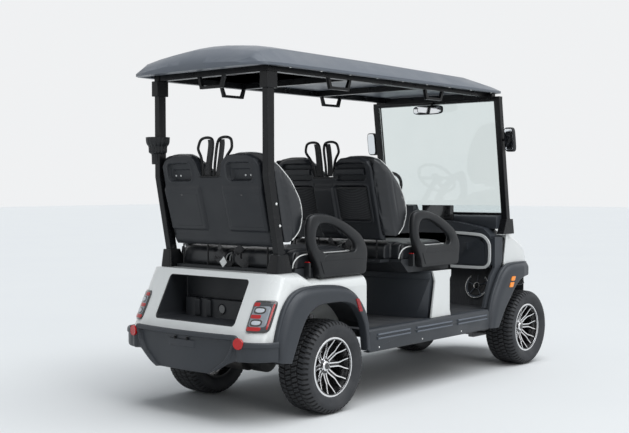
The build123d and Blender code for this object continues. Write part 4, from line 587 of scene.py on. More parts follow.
def tyre(axle_x, s, pitches):
    """A tyre round its axle. The section is a smooth line of radius r and place w. Grooves are cut
    along its normal: around the tyre where w comes near three zigzag lines, and across it where the
    angle comes near the end of each pitch, shifted and slanted from rib to rib. Shoulder ribs are a
    cosine of twice the pitches, and two rings stand on the sidewall."""
    half = spline(TYRE_HALF_SECTION, 200)
    outer = np.concatenate([half, half[::-1] * (1, -1)])
    lengths = np.concatenate([[0], np.cumsum(np.linalg.norm(np.diff(outer, axis=0), axis=1))])
    share = np.concatenate([np.linspace(0, 0.27, 17), np.linspace(0.27, 0.73, 47)[1:-1],
                            np.linspace(0.73, 1, 17)])
    section = np.stack([np.interp(share * lengths[-1], lengths, outer[:, k]) for k in (0, 1)], 1)
    along = np.gradient(section, axis=0)
    normal = np.stack([-along[:, 1], along[:, 0]], 1)
    normal /= np.linalg.norm(normal, axis=1)[:, None]
    normal *= np.sign((normal * (section - (0.24, 0.0))).sum(1))[:, None]
    count = pitches * STEPS_PER_PITCH
    turn = (np.arange(count) / STEPS_PER_PITCH)[:, None]
    r, w = section[None, :, 0], section[None, :, 1]
    zigzag = 0.0035 * np.abs((turn % 1.0) * 4 - 2) - 0.0035
    around = np.zeros((count, len(section)))
    for middle, width in zip(GROOVE_PLACES, GROOVE_WIDTHS):
        around = np.maximum(around, step(width / 2 - np.abs(w - middle - zigzag), 0.004))
    rib = np.digitize(section[:, 1], GROOVE_PLACES)[None, :]
    phase = np.take(RIB_SHIFTS, rib)
    slant = np.take(RIB_SLANTS, rib)
    across = step(0.13 - np.abs((turn + phase + slant * w) % 1.0 - 0.5), 0.12)
    sipe = step(0.05 - np.abs((turn + phase + 0.5 + slant * w) % 1.0 - 0.5), 0.1)
    crown = step(TREAD_HALF - np.abs(w), 0.006) * (r > 0.28)
    shoulder = step(np.abs(w) - TREAD_HALF, 0.006) * step(r - 0.268, 0.006)
    lugs = step(0.16 - np.abs((turn + np.where(w > 0, 0.25, 0.75)) % 1.0 - 0.5), 0.12)
    cut = GROOVE_DEPTH * crown * np.maximum(around, np.maximum(across, 0.35 * sipe))
    cut = np.maximum(cut, SHOULDER_DEPTH * shoulder * lugs)
    wave = 0.5 + 0.5 * np.cos(turn * 4 * np.pi)
    ribs = 0.0011 * wave * step(0.0135 - np.abs(r - 0.2585), 0.005) * (r > 0.24)
    rings = 0.0014 * (np.exp(-((r - 0.2415) / 0.0022) ** 2) + np.exp(-((r - 0.2085) / 0.0024) ** 2))
    lift = ribs + rings - cut
    grid = section[None] + normal[None] * lift[..., None]
    inner = np.broadcast_to(np.array([(BEAD_RADIUS, -0.05), (BEAD_RADIUS, 0.05)]), (count, 2, 2))
    grid = np.concatenate([grid, inner], 1)
    points = wheel_place(axle_x, s, grid[..., 0], grid[..., 1], turn * 2 * np.pi / pitches)
    return outward(sheet(points, wrap_u=True, wrap_v=True)), np.pad(cut, ((0, 0), (0, 2))).reshape(-1)


def wheel_place(axle_x, s, r, w, angle):
    """A point of a wheel from its radius, its place across and the angle round the axle."""
    r, w, angle = np.broadcast_arrays(r, w, angle)
    return np.stack([axle_x + r * np.sin(angle), s * (TRACK_HALF + w), AXLE_Z + r * np.cos(angle)], -1)


def spoke_bar(axle_x, s, turn, line, widths, depths):
    """One bar of a spoke: along a line of (radius, offset, height) a section of six corners, its face
    at the height with chamfered edges and its back the depth below, is turned round the axle."""
    along = np.gradient(line[:, :2], axis=0)
    along /= np.linalg.norm(along, axis=1)[:, None]
    side = np.stack([-along[:, 1], along[:, 0]], 1)
    grid = np.stack([np.concatenate([line[:, :2] + side * (across * widths)[:, None],
                                     (line[:, 2] - down)[:, None]], 1)
                     for across, down in ((-0.5, 0.0018), (-0.38, 0), (0.38, 0), (0.5, 0.0018),
                                          (0.5, depths), (-0.5, depths))])
    r = np.hypot(grid[..., 0], grid[..., 1])
    angle = np.arctan2(grid[..., 1], grid[..., 0]) + turn
    return outward(capped(wheel_place(axle_x, s, r, grid[..., 2], angle)))


BARREL = [(0.172, 0.1035), (0.1835, 0.1035), (0.1835, -0.1035), (0.172, -0.1035), (0.165, -0.085),
          (0.158, -0.07), (0.158, 0.05), (0.170, 0.07), (0.1725, 0.088)]
LIP = [(0.1745, 0.0965), (0.1765, 0.1025), (0.1805, 0.1045), (0.1875, 0.1045), (0.1905, 0.102),
       (0.1905, 0.0992), (0.1845, 0.0975), (0.1765, 0.0925)]
HUB = [(0.0, -0.024), (0.092, -0.024), (0.092, 0.004), (0.062, 0.012), (0.056, 0.026), (0.05, 0.0305),
       (0.0, 0.0305)]
CAP = [(0.0, 0.0306), (0.031, 0.0306), (0.033, 0.033), (0.033, 0.044), (0.030, 0.0475), (0.022, 0.049),
       (0.0, 0.0495)]
CAP_DISC = [(0.0, 0.0493), (0.020, 0.0493), (0.0205, 0.0505), (0.0, 0.0508)]
DRUM = [(0.09, -0.03), (0.125, -0.03), (0.125, -0.045), (0.09, -0.045)]
NUT = [(0, 0), (0.0075, 0), (0.0075, 0.009), (0.0055, 0.012), (0, 0.0125)]


def rim(axle_x, s, spokes):
    """A rim: the barrel, lip, hub and cap are profiles turned about the axle, and each spoke is a pair
    of bars that run side by side and then fork to the barrel, with a dark web between them."""
    centre, axis = (axle_x, s * TRACK_HALF, AXLE_Z), (0, s, 0)
    black, bright = Shape(), Shape()
    for form, profile, count in ((black, BARREL, 96), (bright, LIP, 128), (black, HUB, 64), (bright, CAP, 40),
                                 (black, CAP_DISC, 32), (black, DRUM, 64)):
        form.add(outward(turned(profile, centre, axis, count)))
    t = np.linspace(0, 1, 18)
    radius = 0.046 + t * 0.128
    spread = 0.0115 + 0.0235 * step(radius - 0.122, 0.05) * np.clip((radius - 0.10) / 0.072, 0, 1)
    height = 0.0335 + 0.056 * np.clip((radius - 0.05) / 0.122, 0, 1) ** 1.35
    width = 0.0105 - 0.0025 * t
    t = np.linspace(0, 1, 10)
    web = np.stack([0.045 + t * 0.07, 0 * t, 0.024 + 0.03 * t ** 1.35], 1)
    for index in range(spokes):
        turn = index * 2 * math.pi / spokes
        for side in (-1, 1):
            line = np.stack([radius, side * spread, height], 1)
            bright.add(spoke_bar(axle_x, s, turn, line, width, 0.0045))
            black.add(spoke_bar(axle_x, s, turn, line - (0, 0, 0.0044), width + 0.0018, 0.016))
        black.add(spoke_bar(axle_x, s, turn, web, 0.021 + 0 * t, 0.012))
        if index % 2:
            place = wheel_place(axle_x, s, 0.0385, 0.031, turn + math.pi / spokes)
            bright.add(outward(turned(NUT, place, axis, 6)))
    return black, bright


def make_tyres(sizes):
    """The four tyres, each with the depth of its grooves on its points, which the rubber turns into painted
    shade in the grooves.
    """
    for corner, axle_x, s in CORNERS:
        surface, cut = tyre(axle_x, s, sizes.tread_pitches)
        piece = build("tread_" + corner, Shape().add(surface), "rubber", "wheel_" + corner,
                      replaces=["tyre_" + corner], sharp=28)
        groove_shade = piece.data.attributes.new("groove_shade", "FLOAT", "POINT")
        groove_shade.data.foreach_set("value", cut.astype(np.float32))


def make_rims(sizes):
    """The four rims: a dark body, the bright faces on it, and the valve."""
    for corner, axle_x, s in CORNERS:
        black, bright = rim(axle_x, s, sizes.spokes)
        body = "wheel_" + corner
        build("rim_body_" + corner, black, "dark_alloy", body, replaces=["rim_" + corner])
        build("rim_faces_" + corner, bright, "alloy", body)
        stem = wheel_place(axle_x, s, np.linspace(0.166, 0.163, 4), np.linspace(0.07, 0.098, 4), 0.39)
        build("valve_" + corner, Shape().add(outward(tube(stem, 0.0032, 8, (1, 0, 0)))), "black", body)


# ---- Seats ----

def edge_of_grid(nu, nv):
    """The numbers of a grid's outer points, in order round it."""
    number = np.arange(nu * nv).reshape(nu, nv)
    return np.concatenate([number[:-1, 0], number[-1, :-1], number[:0:-1, -1], number[0, :0:-1]])


def slab(first, second):
    """Two grids of the same shape, face to face, closed along their four edges."""
    nu, nv = first.shape[:2]
    front_points, front_faces = sheet(first)
    back_points, back_faces = sheet(second, flip=True)
    edge = edge_of_grid(nu, nv)
    after = np.roll(edge, -1)
    walls = np.stack([after, edge, edge + nu * nv, after + nu * nv], 1)
    return outward((np.concatenate([front_points, back_points]),
                    [front_faces[0], back_faces[0] + nu * nv, walls]))


def backed(grid, depth):
    """A grid closed behind by walls and one flat face: its rim carried by a vector."""
    nu, nv = grid.shape[:2]
    points, faces = sheet(grid)
    edge = edge_of_grid(nu, nv)
    behind = np.arange(len(edge)) + nu * nv
    walls = np.stack([np.roll(edge, -1), edge, behind, np.roll(behind, -1)], 1)
    return outward((np.concatenate([points, points[edge] + depth]), faces + [walls, behind[None, :]]))


def dense(low, high, coarse, stops, fine, reach):
    """Places from low to high, a coarse step apart, and a fine step apart near each stop."""
    every = [np.arange(low, high, coarse), [high]]
    every += [np.arange(max(low, s - reach), min(high, s + reach), fine) for s in stops]
    places = np.unique(np.round(np.concatenate(every), 4))
    keep = np.concatenate([[True], np.diff(places) > 0.6 * fine])
    keep[-1] = True
    return places[keep]


SHELL_LINE_Z = (1.055, 1.408, 1.600, 1.655)
SHELL_LINE_X = (-0.364, -0.460, -0.498, -0.496)
SHELL_HALF = 0.437
SHELL_FOOT_Z = 1.0605
SHELL_DEPTH = np.array((0.030, 0, 0))
SHELL_ROUNDING = 0.016
HUMP_Y = (0.0, 0.086, 0.098, 0.122, 0.16, 0.22, 0.34, 0.40, 0.43, SHELL_HALF)
HUMP_Z = (1.502, 1.502, 1.53, 1.600, 1.632, 1.638, 1.634, 1.612, 1.575, 1.540)
RISE_Z = 1.46


def shell_x(z):
    """The rear face of a seat shell from the rear axle, at a height."""
    return np.interp(z, SHELL_LINE_Z, SHELL_LINE_X)


def shell_grid(stops_y, stops_z):
    """Rows of a shell's face: level up to the rise, then spread evenly up to the humps' outline."""
    half = dense(0.0, SHELL_HALF, 0.011, stops_y, 0.0035, 0.012)
    y = np.concatenate([-half[:0:-1], half])
    top = np.interp(np.abs(y), HUMP_Y, HUMP_Z)
    low = dense(SHELL_FOOT_Z, RISE_Z, 0.011, stops_z, 0.0035, 0.014)
    up = np.linspace(0, 1, 42)[1:]
    z = np.concatenate([np.broadcast_to(low[None], (len(y), len(low))),
                        RISE_Z + up[None] * (top[:, None] - RISE_Z)], 1)
    y = np.broadcast_to(y[:, None], z.shape)
    return y, z, np.broadcast_to(top[:, None], z.shape)


def quarter_circle(away, radius):
    """The height of a quarter circle at a distance from its foot: by Pythagoras, from its radius."""
    away = np.clip(away, 0, radius)
    return np.sqrt(np.maximum(radius ** 2 - (radius - away) ** 2, 0))


def rounded_edge(y, z, top):
    """How far a shell's face falls back near its outline, along a quarter circle."""
    away = np.minimum(np.minimum(SHELL_HALF - np.abs(y), (top - z) * 0.8), z - SHELL_FOOT_Z)
    return SHELL_ROUNDING - quarter_circle(away, SHELL_ROUNDING)


def rear_shell():
    """The rear row's shell: covers stand proud below a slanted ledge, a recess with a smaller one in
    it is let into each hump, and a low rib runs along the foot. Each is a smooth step across its edge."""
    y, z, top = shell_grid((0.10, 0.165, 0.195, 0.345, 0.375), (1.16, 1.425))
    a = np.abs(y)
    cover = step(a - 0.103, 0.010) * step(1.432 - z, 0.034) * step(z - 1.158, 0.016)
    pocket = step(inside(a, z, (0.272, 1.529), (0.108, 0.055), 0.034), 0.010)
    box = step(inside(a, z, (0.268, 1.512), (0.080, 0.034), 0.010), 0.007)
    rim_raise = step(inside(a, z, (0.272, 1.529), (0.122, 0.069), 0.046), 0.012)
    foot = step(0.016 - np.abs(z - 1.098), 0.018)
    proud = 0.013 * cover + 0.004 * rim_raise - 0.020 * pocket - 0.011 * box + 0.006 * foot
    x = shell_x(z) - proud + rounded_edge(y, z, top)
    return backed(np.stack([rear(x), y, z], -1), SHELL_DEPTH)


def front_shell():
    """The front row's shell: a wide recess for the bar handle, a pocket frame below it, and a
    console between the seats that steps out under the valley."""
    y, z, top = shell_grid((0.10, 0.075, 0.375, 0.40), (1.19, 1.425))
    a = np.abs(y)
    well = step(inside(a, z, (0.245, 1.537), (0.135, 0.060), 0.03), 0.010)
    pocket = step(inside(a, z, (0.240, 1.315), (0.142, 0.122), 0.022), 0.010)
    frame_step = step(inside(a, z, (0.240, 1.315), (0.158, 0.138), 0.03), 0.008)
    console = step(0.082 - a, 0.016) * step(1.43 - z, 0.05) * step(z - 1.10, 0.05)
    proud = 0.006 * frame_step - 0.016 * pocket - 0.024 * well + 0.030 * console
    x = shell_x(z) - proud + rounded_edge(y, z, top)
    return backed(np.stack([rear(x), y, z], -1), SHELL_DEPTH)


def on_shell(surface):
    """A surface drawn with its x as depth behind the shell's line, laid on that line."""
    points, groups = surface
    points[:, 0] = rear(shell_x(points[:, 2])) - points[:, 0]
    return outward((points, groups))


def rounded(middle, half, radius, count=6):
    """A rectangle's outline with round corners."""
    turn = np.linspace(0, np.pi / 2, count)
    out = []
    for k, (sy, sz) in enumerate(((1, 1), (-1, 1), (-1, -1), (1, -1))):
        angle = turn + k * np.pi / 2
        corner = np.array(middle) + (sy * (half[0] - radius), sz * (half[1] - radius))
        out.append(corner + radius * np.stack([np.cos(angle), np.sin(angle)], 1))
    return np.concatenate(out)


def dome(centre, axis, radius, height, count=20):
    """A low round head: its radius falls along a quarter ellipse of its height."""
    turn = np.linspace(0, np.pi / 2, 6)[:-1]
    curve = [(radius * math.cos(t), height * math.sin(t)) for t in turn]
    return outward(turned([(0, -0.002), (radius, -0.002)] + curve + [(0, height)], centre, axis, count))


def rear_details(plates, heads, s):
    """A lid with its latch below the ledge, and two screws in the recess."""
    plates.add(on_shell(prism(rounded((s * 0.2745, 1.287), (0.142, 0.104), 0.008), -0.002, 0.0145, "yz")))
    plates.add(on_shell(prism(rounded((s * 0.27, 1.383), (0.009, 0.004), 0.003), 0.010, 0.0158, "yz")), 1)
    for y in (0.293, 0.338):
        centre = (rear(shell_x(1.508)) + 0.0285, s * y, 1.508)
        heads.add(dome(centre, (-1, 0, 0.12), 0.0075, 0.0045))


def front_details(plates, nets, s):
    """The bar handle, and the mesh pocket with its hem. The net sags by a sine across it times a
    sine of its height."""
    across = np.linspace(0.118, 0.372, 24)
    bar = np.stack([np.full(24, rear(shell_x(1.537)) + 0.004), s * across, np.full(24, 1.537)], 1)
    plates.add(outward(swept(bar, rounded((0, 0), (0.021, 0.010), 0.009), (1, 0, 0))))
    z = np.linspace(1.205, 1.425, 34)
    v, u = np.meshgrid(np.linspace(0, 1, 34), np.linspace(0, 1, 40))
    sag = 0.010 * np.sin(np.pi * u) * np.sin(np.pi * v * 0.5 + 0.6)
    grid = np.stack([rear(shell_x(z))[None] + 0.006 - sag, s * (0.108 + 0.264 * u),
                     np.broadcast_to(z[None], u.shape)], -1)
    nets.add(slab(grid, grid + (0.0015, 0, 0)))
    t = np.linspace(0, 1, 30)
    hem = np.stack([rear(shell_x(1.425)) + 0.004 - 0.010 * np.sin(np.pi * t), s * (0.106 + 0.268 * t),
                    np.full(30, 1.425)], 1)
    nets.add(outward(tube(hem, 0.0055, 8)), 1)


# The pads: their side outlines as (x from the rear axle, z), and the rise of a back over its width.
CUSHION_SIDE = [(-0.318, 0.9262), (-0.324, 0.955), (-0.318, 1.005), (-0.285, 1.030), (-0.18, 1.034),
                (0.0, 1.033), (0.18, 1.034), (0.262, 1.024), (0.297, 0.985), (0.296, 0.945),
                (0.286, 0.9262)]
BACK_Z = (1.087, 1.10, 1.149, 1.19, 1.242, 1.310, 1.375, 1.444, 1.507, 1.563, 1.612, 1.645)
BACK_X = (-0.292, -0.262, -0.206, -0.183, -0.168, -0.172, -0.193, -0.232, -0.277, -0.330, -0.385, -0.432)
BACK_TOP_Y = (0.012, 0.07, 0.10, 0.14, 0.20, 0.33, 0.41, 0.455, 0.488, 0.512)
BACK_TOP_Z = (1.495, 1.50, 1.575, 1.625, 1.652, 1.655, 1.645, 1.630, 1.598, 1.54)
PILLAR_EDGE_Z = (1.0, 1.5, 1.7)
PILLAR_EDGE_X = (-0.326, -0.420, -0.420)
PAD_BEHIND = 0.0405
PAD_WIDTH = 0.499
PAD_MIDDLE_Y = 0.262
BACK_ENDS = (0.013, 0.512)
BACK_ROUNDING = 0.02
CUSHION_ENDS = (0.014, 0.513)
CUSHION_ROUNDING = 0.016
CLOTH_GRAIN = 0.0072
CLOTH_PRESSURE = 4.0


def back_limit(y, z, row):
    """The rearmost place of a back pad: in front of its shell, and clear of the pillar beside it."""
    limit = shell_x(z) + PAD_BEHIND
    if row == "rear":
        beside = np.interp(z, PILLAR_EDGE_Z, PILLAR_EDGE_X) + 0.003
        return np.where(y > SHELL_HALF + 0.016, np.maximum(limit, beside), limit)
    return np.where(y > SHELL_HALF + 0.001, shell_x(z) + 0.014 + 0.9 * np.clip(y - 0.46, 0, 1), limit)


def back_form(row):
    """A seat back as a grid: across it goes y, and round it first the front outline and then the
    rear limit. The outline keeps its true height, and is drawn up or down to the pad's top there by
    the sixth power of the height's share. The front falls back along quarter circles at the inner
    and outer sides and swells by a sine between them."""
    low, high = BACK_ENDS
    across = dense(low, high, 0.016, (0.02, 0.503), 0.003, 0.014)
    t = np.linspace(0, 1, 46)
    top = np.interp(across, BACK_TOP_Y, BACK_TOP_Z)
    z0 = BACK_Z[0]
    z = z0 + t[None] * (top[:, None] - z0)
    model = z + (BACK_Z[-1] - top[:, None]) * t[None] ** 6
    depth = np.interp(model, BACK_Z, BACK_X) - (shell_x(model) + PAD_BEHIND)
    fall = quarter_circle(np.minimum(across - low, high - across), BACK_ROUNDING) / BACK_ROUNDING
    full = 0.955 + 0.045 * fall + 0.05 * np.sin(np.pi * (across - low) / PAD_WIDTH)
    ahead = shell_x(z) + PAD_BEHIND + depth * full[:, None]
    y = np.broadcast_to(across[:, None], z.shape)
    behind = np.minimum(back_limit(y, z, row), ahead - 0.004)
    grid = np.concatenate([np.stack([ahead, y, z], -1), np.stack([behind, y, z], -1)[:, ::-1]], 1)
    return outward(capped(grid.transpose(1, 0, 2)))


def cushion_form():
    """A seat cushion: its side outline scaled about its middle, less along quarter circles at both
    ends and more by a sine between them, with its rear corner drawn forward beside the pillar."""
    low, high = CUSHION_ENDS
    across = dense(low, high, 0.016, (0.02, 0.43, 0.505), 0.003, 0.014)
    outline = evenly(spline(CUSHION_SIDE, 120), 92)
    middle = np.array((-0.01, 0.9262))
    fall = CUSHION_ROUNDING - quarter_circle(np.minimum(across - low, high - across), CUSHION_ROUNDING)
    ray = outline - middle
    size = np.maximum(np.linalg.norm(ray, axis=1), 0.05)
    grid = middle + ray[:, None] * (1 - fall[None, :, None] / size[:, None, None])
    crown = 0.006 * np.sin(np.pi * (across - low) / PAD_WIDTH)[None]
    grid[..., 1] += crown * step(grid[..., 1] - 0.99, 0.04)
    front_x, rear_x = 0.30, -0.324
    edge = np.interp(across, (0.415, 0.43), (rear_x, -0.258))
    squeeze = (front_x - edge) / (front_x - rear_x)
    x = np.where(grid[..., 0] < front_x, front_x - (front_x - grid[..., 0]) * squeeze[None], grid[..., 0])
    points = np.stack([x, np.broadcast_to(across, x.shape), grid[..., 1]], -1)
    return outward(capped(points))


def swollen(surface, name, cap):
    """The pad after the air in it has pushed its cloth out: a remeshed copy swells under pressure for
    twenty steps, and no point goes further than the cap. It comes back as points and faces."""
    points, groups = surface
    mesh = bpy.data.meshes.new(name + "_blank")
    mesh.from_pydata(points.tolist(), [], [face for group in groups for face in group.tolist()])
    blank = bpy.data.objects.new(name + "_blank", mesh)
    bpy.context.scene.collection.objects.link(blank)
    bpy.context.view_layer.objects.active = blank
    blank.select_set(True)
    remesh = blank.modifiers.new("even_cloth", "REMESH")
    remesh.mode = "VOXEL"
    remesh.voxel_size = CLOTH_GRAIN
    bpy.ops.object.modifier_apply(modifier=remesh.name)
    before = after = fetched(blank.data.vertices, "co", 3, np.float32)
    cloth = blank.modifiers.new("filled", "CLOTH")
    cloth.settings.use_pressure = True
    cloth.settings.uniform_pressure_force = CLOTH_PRESSURE
    cloth.settings.effector_weights.gravity = 0
    cloth.settings.tension_stiffness = 20
    cloth.settings.compression_stiffness = 20
    cloth.settings.bending_stiffness = 1.5
    cloth.settings.quality = 5
    for number in range(1, 21):
        bpy.context.scene.frame_set(number)
    bpy.ops.object.modifier_apply(modifier=cloth.name)
    after = fetched(blank.data.vertices, "co", 3, np.float32)
    bpy.context.scene.frame_set(1)
    move = after - before
    size = np.linalg.norm(move, axis=1)[:, None]
    done = before + move * np.minimum(1, cap / np.maximum(size, 1e-9))
    corners = fetched(blank.data.loops, "vertex_index", kind=np.int32)
    totals = fetched(blank.data.polygons, "loop_total", kind=np.int32)
    starts = np.concatenate([[0], np.cumsum(totals)[:-1]])
    groups = [corners[(starts[totals == k][:, None] + np.arange(k)[None])] for k in np.unique(totals)]
    bpy.data.objects.remove(blank, do_unlink=True)
    return done.astype(float), groups


def bell(distance, width):
    """A bell curve: e to the minus square of a distance over the width."""
    return np.exp(-(distance / width) ** 2)


CUSHION_PIPING = [(-0.262, 0.505, 0.93), (-0.260, 0.515, 0.965), (-0.232, 0.5205, 0.995),
                  (-0.18, 0.521, 1.010), (-0.10, 0.521, 1.014), (0.10, 0.521, 1.014), (0.26, 0.521, 1.014),
                  (0.292, 0.505, 1.014), (0.304, 0.46, 1.014), (0.304, 0.06, 1.014), (0.290, 0.022, 1.014),
                  (0.25, 0.010, 1.014), (0.0, 0.010, 1.014), (-0.20, 0.010, 1.014), (-0.27, 0.012, 1.008),
                  (-0.310, 0.016, 0.99), (-0.322, 0.02, 0.93)]
BACK_PIPING = [(-0.268, 0.508, 1.092), (-0.205, 0.513, 1.149), (-0.182, 0.514, 1.19), (-0.170, 0.515, 1.242),
               (-0.174, 0.515, 1.310), (-0.195, 0.514, 1.375), (-0.234, 0.512, 1.444), (-0.279, 0.508, 1.507),
               (-0.322, 0.500, 1.555), (-0.365, 0.484, 1.60), (-0.407, 0.448, 1.640), (-0.43, 0.37, 1.664),
               (-0.436, 0.26, 1.668), (-0.43, 0.19, 1.66), (-0.42, 0.145, 1.63), (-0.41, 0.112, 1.585)]


def place_pads(kind, row, shift, pad, piping):
    """A pad and its piping on both sides of a row."""
    for side, s in SIDES:
        forms = [moved(form, rear(shift)) for form in (pad, piping)]
        if s < 0:
            forms = [mirrored(form) for form in forms]
        piece = build(f"{kind}_{row}_{side}", Shape().add(forms[0]), "vinyl",
                      replaces=[f"seat_{kind}s_{row}"], sharp=80)
        build(f"{kind}_piping_{row}_{side}", Shape().add(forms[1]), "piping")


def filled_cushion():
    """A filled cushion with its seams: a bell curve deep along a rounded rectangle and three lines."""
    points, groups = swollen(cushion_form(), "cushion", 0.010)
    points[:, 2] = np.clip(points[:, 2], 0.9257, None)
    points[:, 1] = np.clip(points[:, 1], 0.004, 0.5235)
    points[:, 0] = np.where((points[:, 1] > 0.424) & (points[:, 0] < -0.2605), -0.2605, points[:, 0])
    upper = step(points[:, 2] - 1.0, 0.02)
    panel = np.abs(inside(points[:, 0], points[:, 1], (-0.02, PAD_MIDDLE_Y), (0.225, 0.185), 0.05))
    points[:, 2] -= 0.006 * upper * bell(panel, 0.006)
    along = step(0.215 - np.abs(points[:, 0] + 0.02), 0.02)
    for middle in (0.17, PAD_MIDDLE_Y, 0.355):
        points[:, 2] -= 0.0035 * upper * along * bell(points[:, 1] - middle, 0.0055)
    return points, groups


def filled_back(row):
    """A filled seat back with its seams: a bell curve deep along a rounded rectangle and five lines,
    and one round its outer side."""
    points, groups = swollen(back_form(row), "back_" + row, 0.009)
    points[:, 0] = np.maximum(points[:, 0], back_limit(points[:, 1], points[:, 2], row))
    points[:, 1] = np.clip(points[:, 1], 0.004, 0.524)
    ahead = step(points[:, 0] - shell_x(points[:, 2]) - 0.09, 0.02)
    panel = np.abs(inside(points[:, 1], points[:, 2], (PAD_MIDDLE_Y, 1.345), (0.165, 0.215), 0.06))
    points[:, 0] -= 0.006 * ahead * bell(panel, 0.006)
    within = step(0.155 - np.abs(points[:, 1] - PAD_MIDDLE_Y), 0.02)
    for middle in (1.20, 1.28, 1.36, 1.44, 1.52):
        points[:, 0] -= 0.004 * ahead * within * bell(points[:, 2] - middle, 0.006)
    crease = bell(points[:, 0] - shell_x(points[:, 2]) - 0.125, 0.006) * step(points[:, 1] - 0.49, 0.01)
    points[:, 1] -= 0.003 * crease
    return points, groups


def settled(line):
    """A line evened out: each point becomes the mean of the nine round it, the ends repeated."""
    padded = np.concatenate([np.repeat(line[:1], 4, 0), line, np.repeat(line[-1:], 4, 0)])
    total = np.cumsum(np.concatenate([np.zeros((1, 3)), padded]), 0)
    return (total[9:] - total[:-9]) / 9


def make_pads(sizes):
    """Cushions and backs of both rows: one pad of each kind is filled, and its copies are moved
    along the vehicle or reflected to the other side."""
    cushion = filled_cushion()
    line = evenly(spline(CUSHION_PIPING, 240), 200)
    piping = outward(tube(line, sizes.piping_radius, 8, (0.02, 0.01, 1)))
    for row, shift in ROWS:
        place_pads("cushion", row, shift, cushion, piping)
    line = spline(BACK_PIPING, 150)
    for row, shift in ROWS:
        back = filled_back(row)
        nearest = np.linalg.norm(back[0][None] - line[:, None], axis=2).argmin(1)
        piping = outward(tube(settled(back[0][nearest]), sizes.piping_radius, 8, (0, 1, 0)))
        place_pads("back", row, shift, back, piping)


def make_shells():
    """The moulded shells behind the seats, with their lids, screws, handle and pocket."""
    for row, shift in ROWS:
        surface = rear_shell() if row == "rear" else front_shell()
        build("seat_shell_" + row + "_moulding", Shape().add(moved(surface, shift)), "shell",
              replaces=["seat_shell_" + row], sharp=50)
        plates, smaller = Shape(), Shape()
        for s in (1, -1):
            (rear_details if row == "rear" else front_details)(plates, smaller, s)
        for each in (plates, smaller):
            each.points = [points + (shift, 0, 0) for points in each.points]
        bevel(build("seat_shell_plates_" + row, plates, "shell gloss"), 0.0025, 2)
        if row == "rear":
            build("shell_screws", smaller, "piping")
        else:
            build("shell_pockets", smaller, "net webbing")


ARM_OUTER = [(-0.082, 0.864), (-0.102, 0.925), (-0.150, 1.01), (-0.182, 1.08), (-0.192, 1.14),
             (-0.188, 1.205), (-0.165, 1.250), (-0.11, 1.266), (-0.02, 1.262), (0.08, 1.241),
             (0.18, 1.206), (0.28, 1.157), (0.349, 1.112), (0.392, 1.056), (0.403, 1.0), (0.392, 0.93),
             (0.365, 0.864), (0.20, 0.863), (0.0, 0.863)]
ARM_INNER = [(-0.045, 0.99), (-0.03, 1.012), (-0.078, 1.035), (-0.098, 1.060), (-0.112, 1.100),
             (-0.108, 1.150), (-0.085, 1.187), (-0.05, 1.201), (0.01, 1.198), (0.08, 1.179),
             (0.145, 1.150), (0.21, 1.115), (0.252, 1.088), (0.280, 1.058), (0.282, 1.032), (0.262, 1.014),
             (0.225, 1.010), (0.13, 1.010), (0.0, 1.010)]
ARM_PANEL = [(-0.05, 0.885), (-0.085, 0.965), (0.34, 0.965), (0.352, 0.93), (0.335, 0.885)]
ARM_MIDDLE_Y = 0.5572
ARM_HALF = 0.0285


def armrest():
    """An armrest loop: round it go the outer and inner outlines, and across it a rounded square
    (a superellipse) between them, nearly round over the top and nearly flat at the panel below."""
    outer = spline(ARM_OUTER, 170, closed=True)
    inner = spline(ARM_INNER, 170, closed=True)
    outer[:, 1] = np.maximum(outer[:, 1], 0.8625)
    middle, half = (outer + inner) / 2, (outer - inner) / 2
    power = np.interp(middle[:, 1], (0.95, 1.06), (9.0, 2.5))
    across, thick = superellipse(round_angles(24)[None], power[:, None])
    grid = middle[:, None] + half[:, None] * across[..., None]
    points = np.stack([rear(grid[..., 0]), ARM_MIDDLE_Y + ARM_HALF * thick, grid[..., 1]], -1)
    return outward(sheet(points, wrap_u=True, wrap_v=True))


def make_armrests():
    """The armrest loops of both rows, each with the panel that closes its foot."""
    loop = armrest()
    panel = outward(prism([(rear(x), z) for x, z in ARM_PANEL], ARM_MIDDLE_Y + 0.02,
                          ARM_MIDDLE_Y + ARM_HALF + 0.0028))
    for row, shift in ROWS:
        form = Shape().add(both(moved(loop, shift))).add(both(moved(panel, shift)))
        piece = build("armrest_loops_" + row, form, "black", replaces=["armrests_" + row], sharp=50)
        bevel(piece, 0.003, 2, 50)


HOOP_LEAN = {"rear": (-0.455, -0.447, -0.430, -0.420), "front": (-0.461, -0.472, -0.490, -0.496)}
LAP_BELTS = (((0.054, 1.058), (0.0, 1.028), (0.034, 0.985), (-0.012, 0.955), (-0.06, 0.933)),
             ((-0.162, 1.058), (-0.140, 1.02), (-0.150, 0.975), (-0.186, 0.952), (-0.205, 0.933)))
LAP_BELT_X = (0.352, 0.376, 0.380, 0.372, 0.345)


HOOP_LINE = [(0.018, 1.4925), (0.018, 1.58), (0.018, 1.69), (0.030, 1.733), (0.060, 1.747), (0.105, 1.747),
             (0.137, 1.733), (0.150, 1.70), (0.149, 1.672), (0.120, 1.632), (0.104, 1.60), (0.094, 1.56),
             (0.088, 1.4925)]


def hoop_x(z, row):
    """Where a guide hoop stands at a height: straight lines between four places."""
    return np.interp(z, (1.49, 1.585, 1.69, 1.755), HOOP_LEAN[row])


def strip(path, across, above, up=(0, 0, 1)):
    """A flat band along a path, from its half widths across the path and above it."""
    return outward(swept(path, [(-across, -above), (across, -above), (across, above), (-across, above)], up))


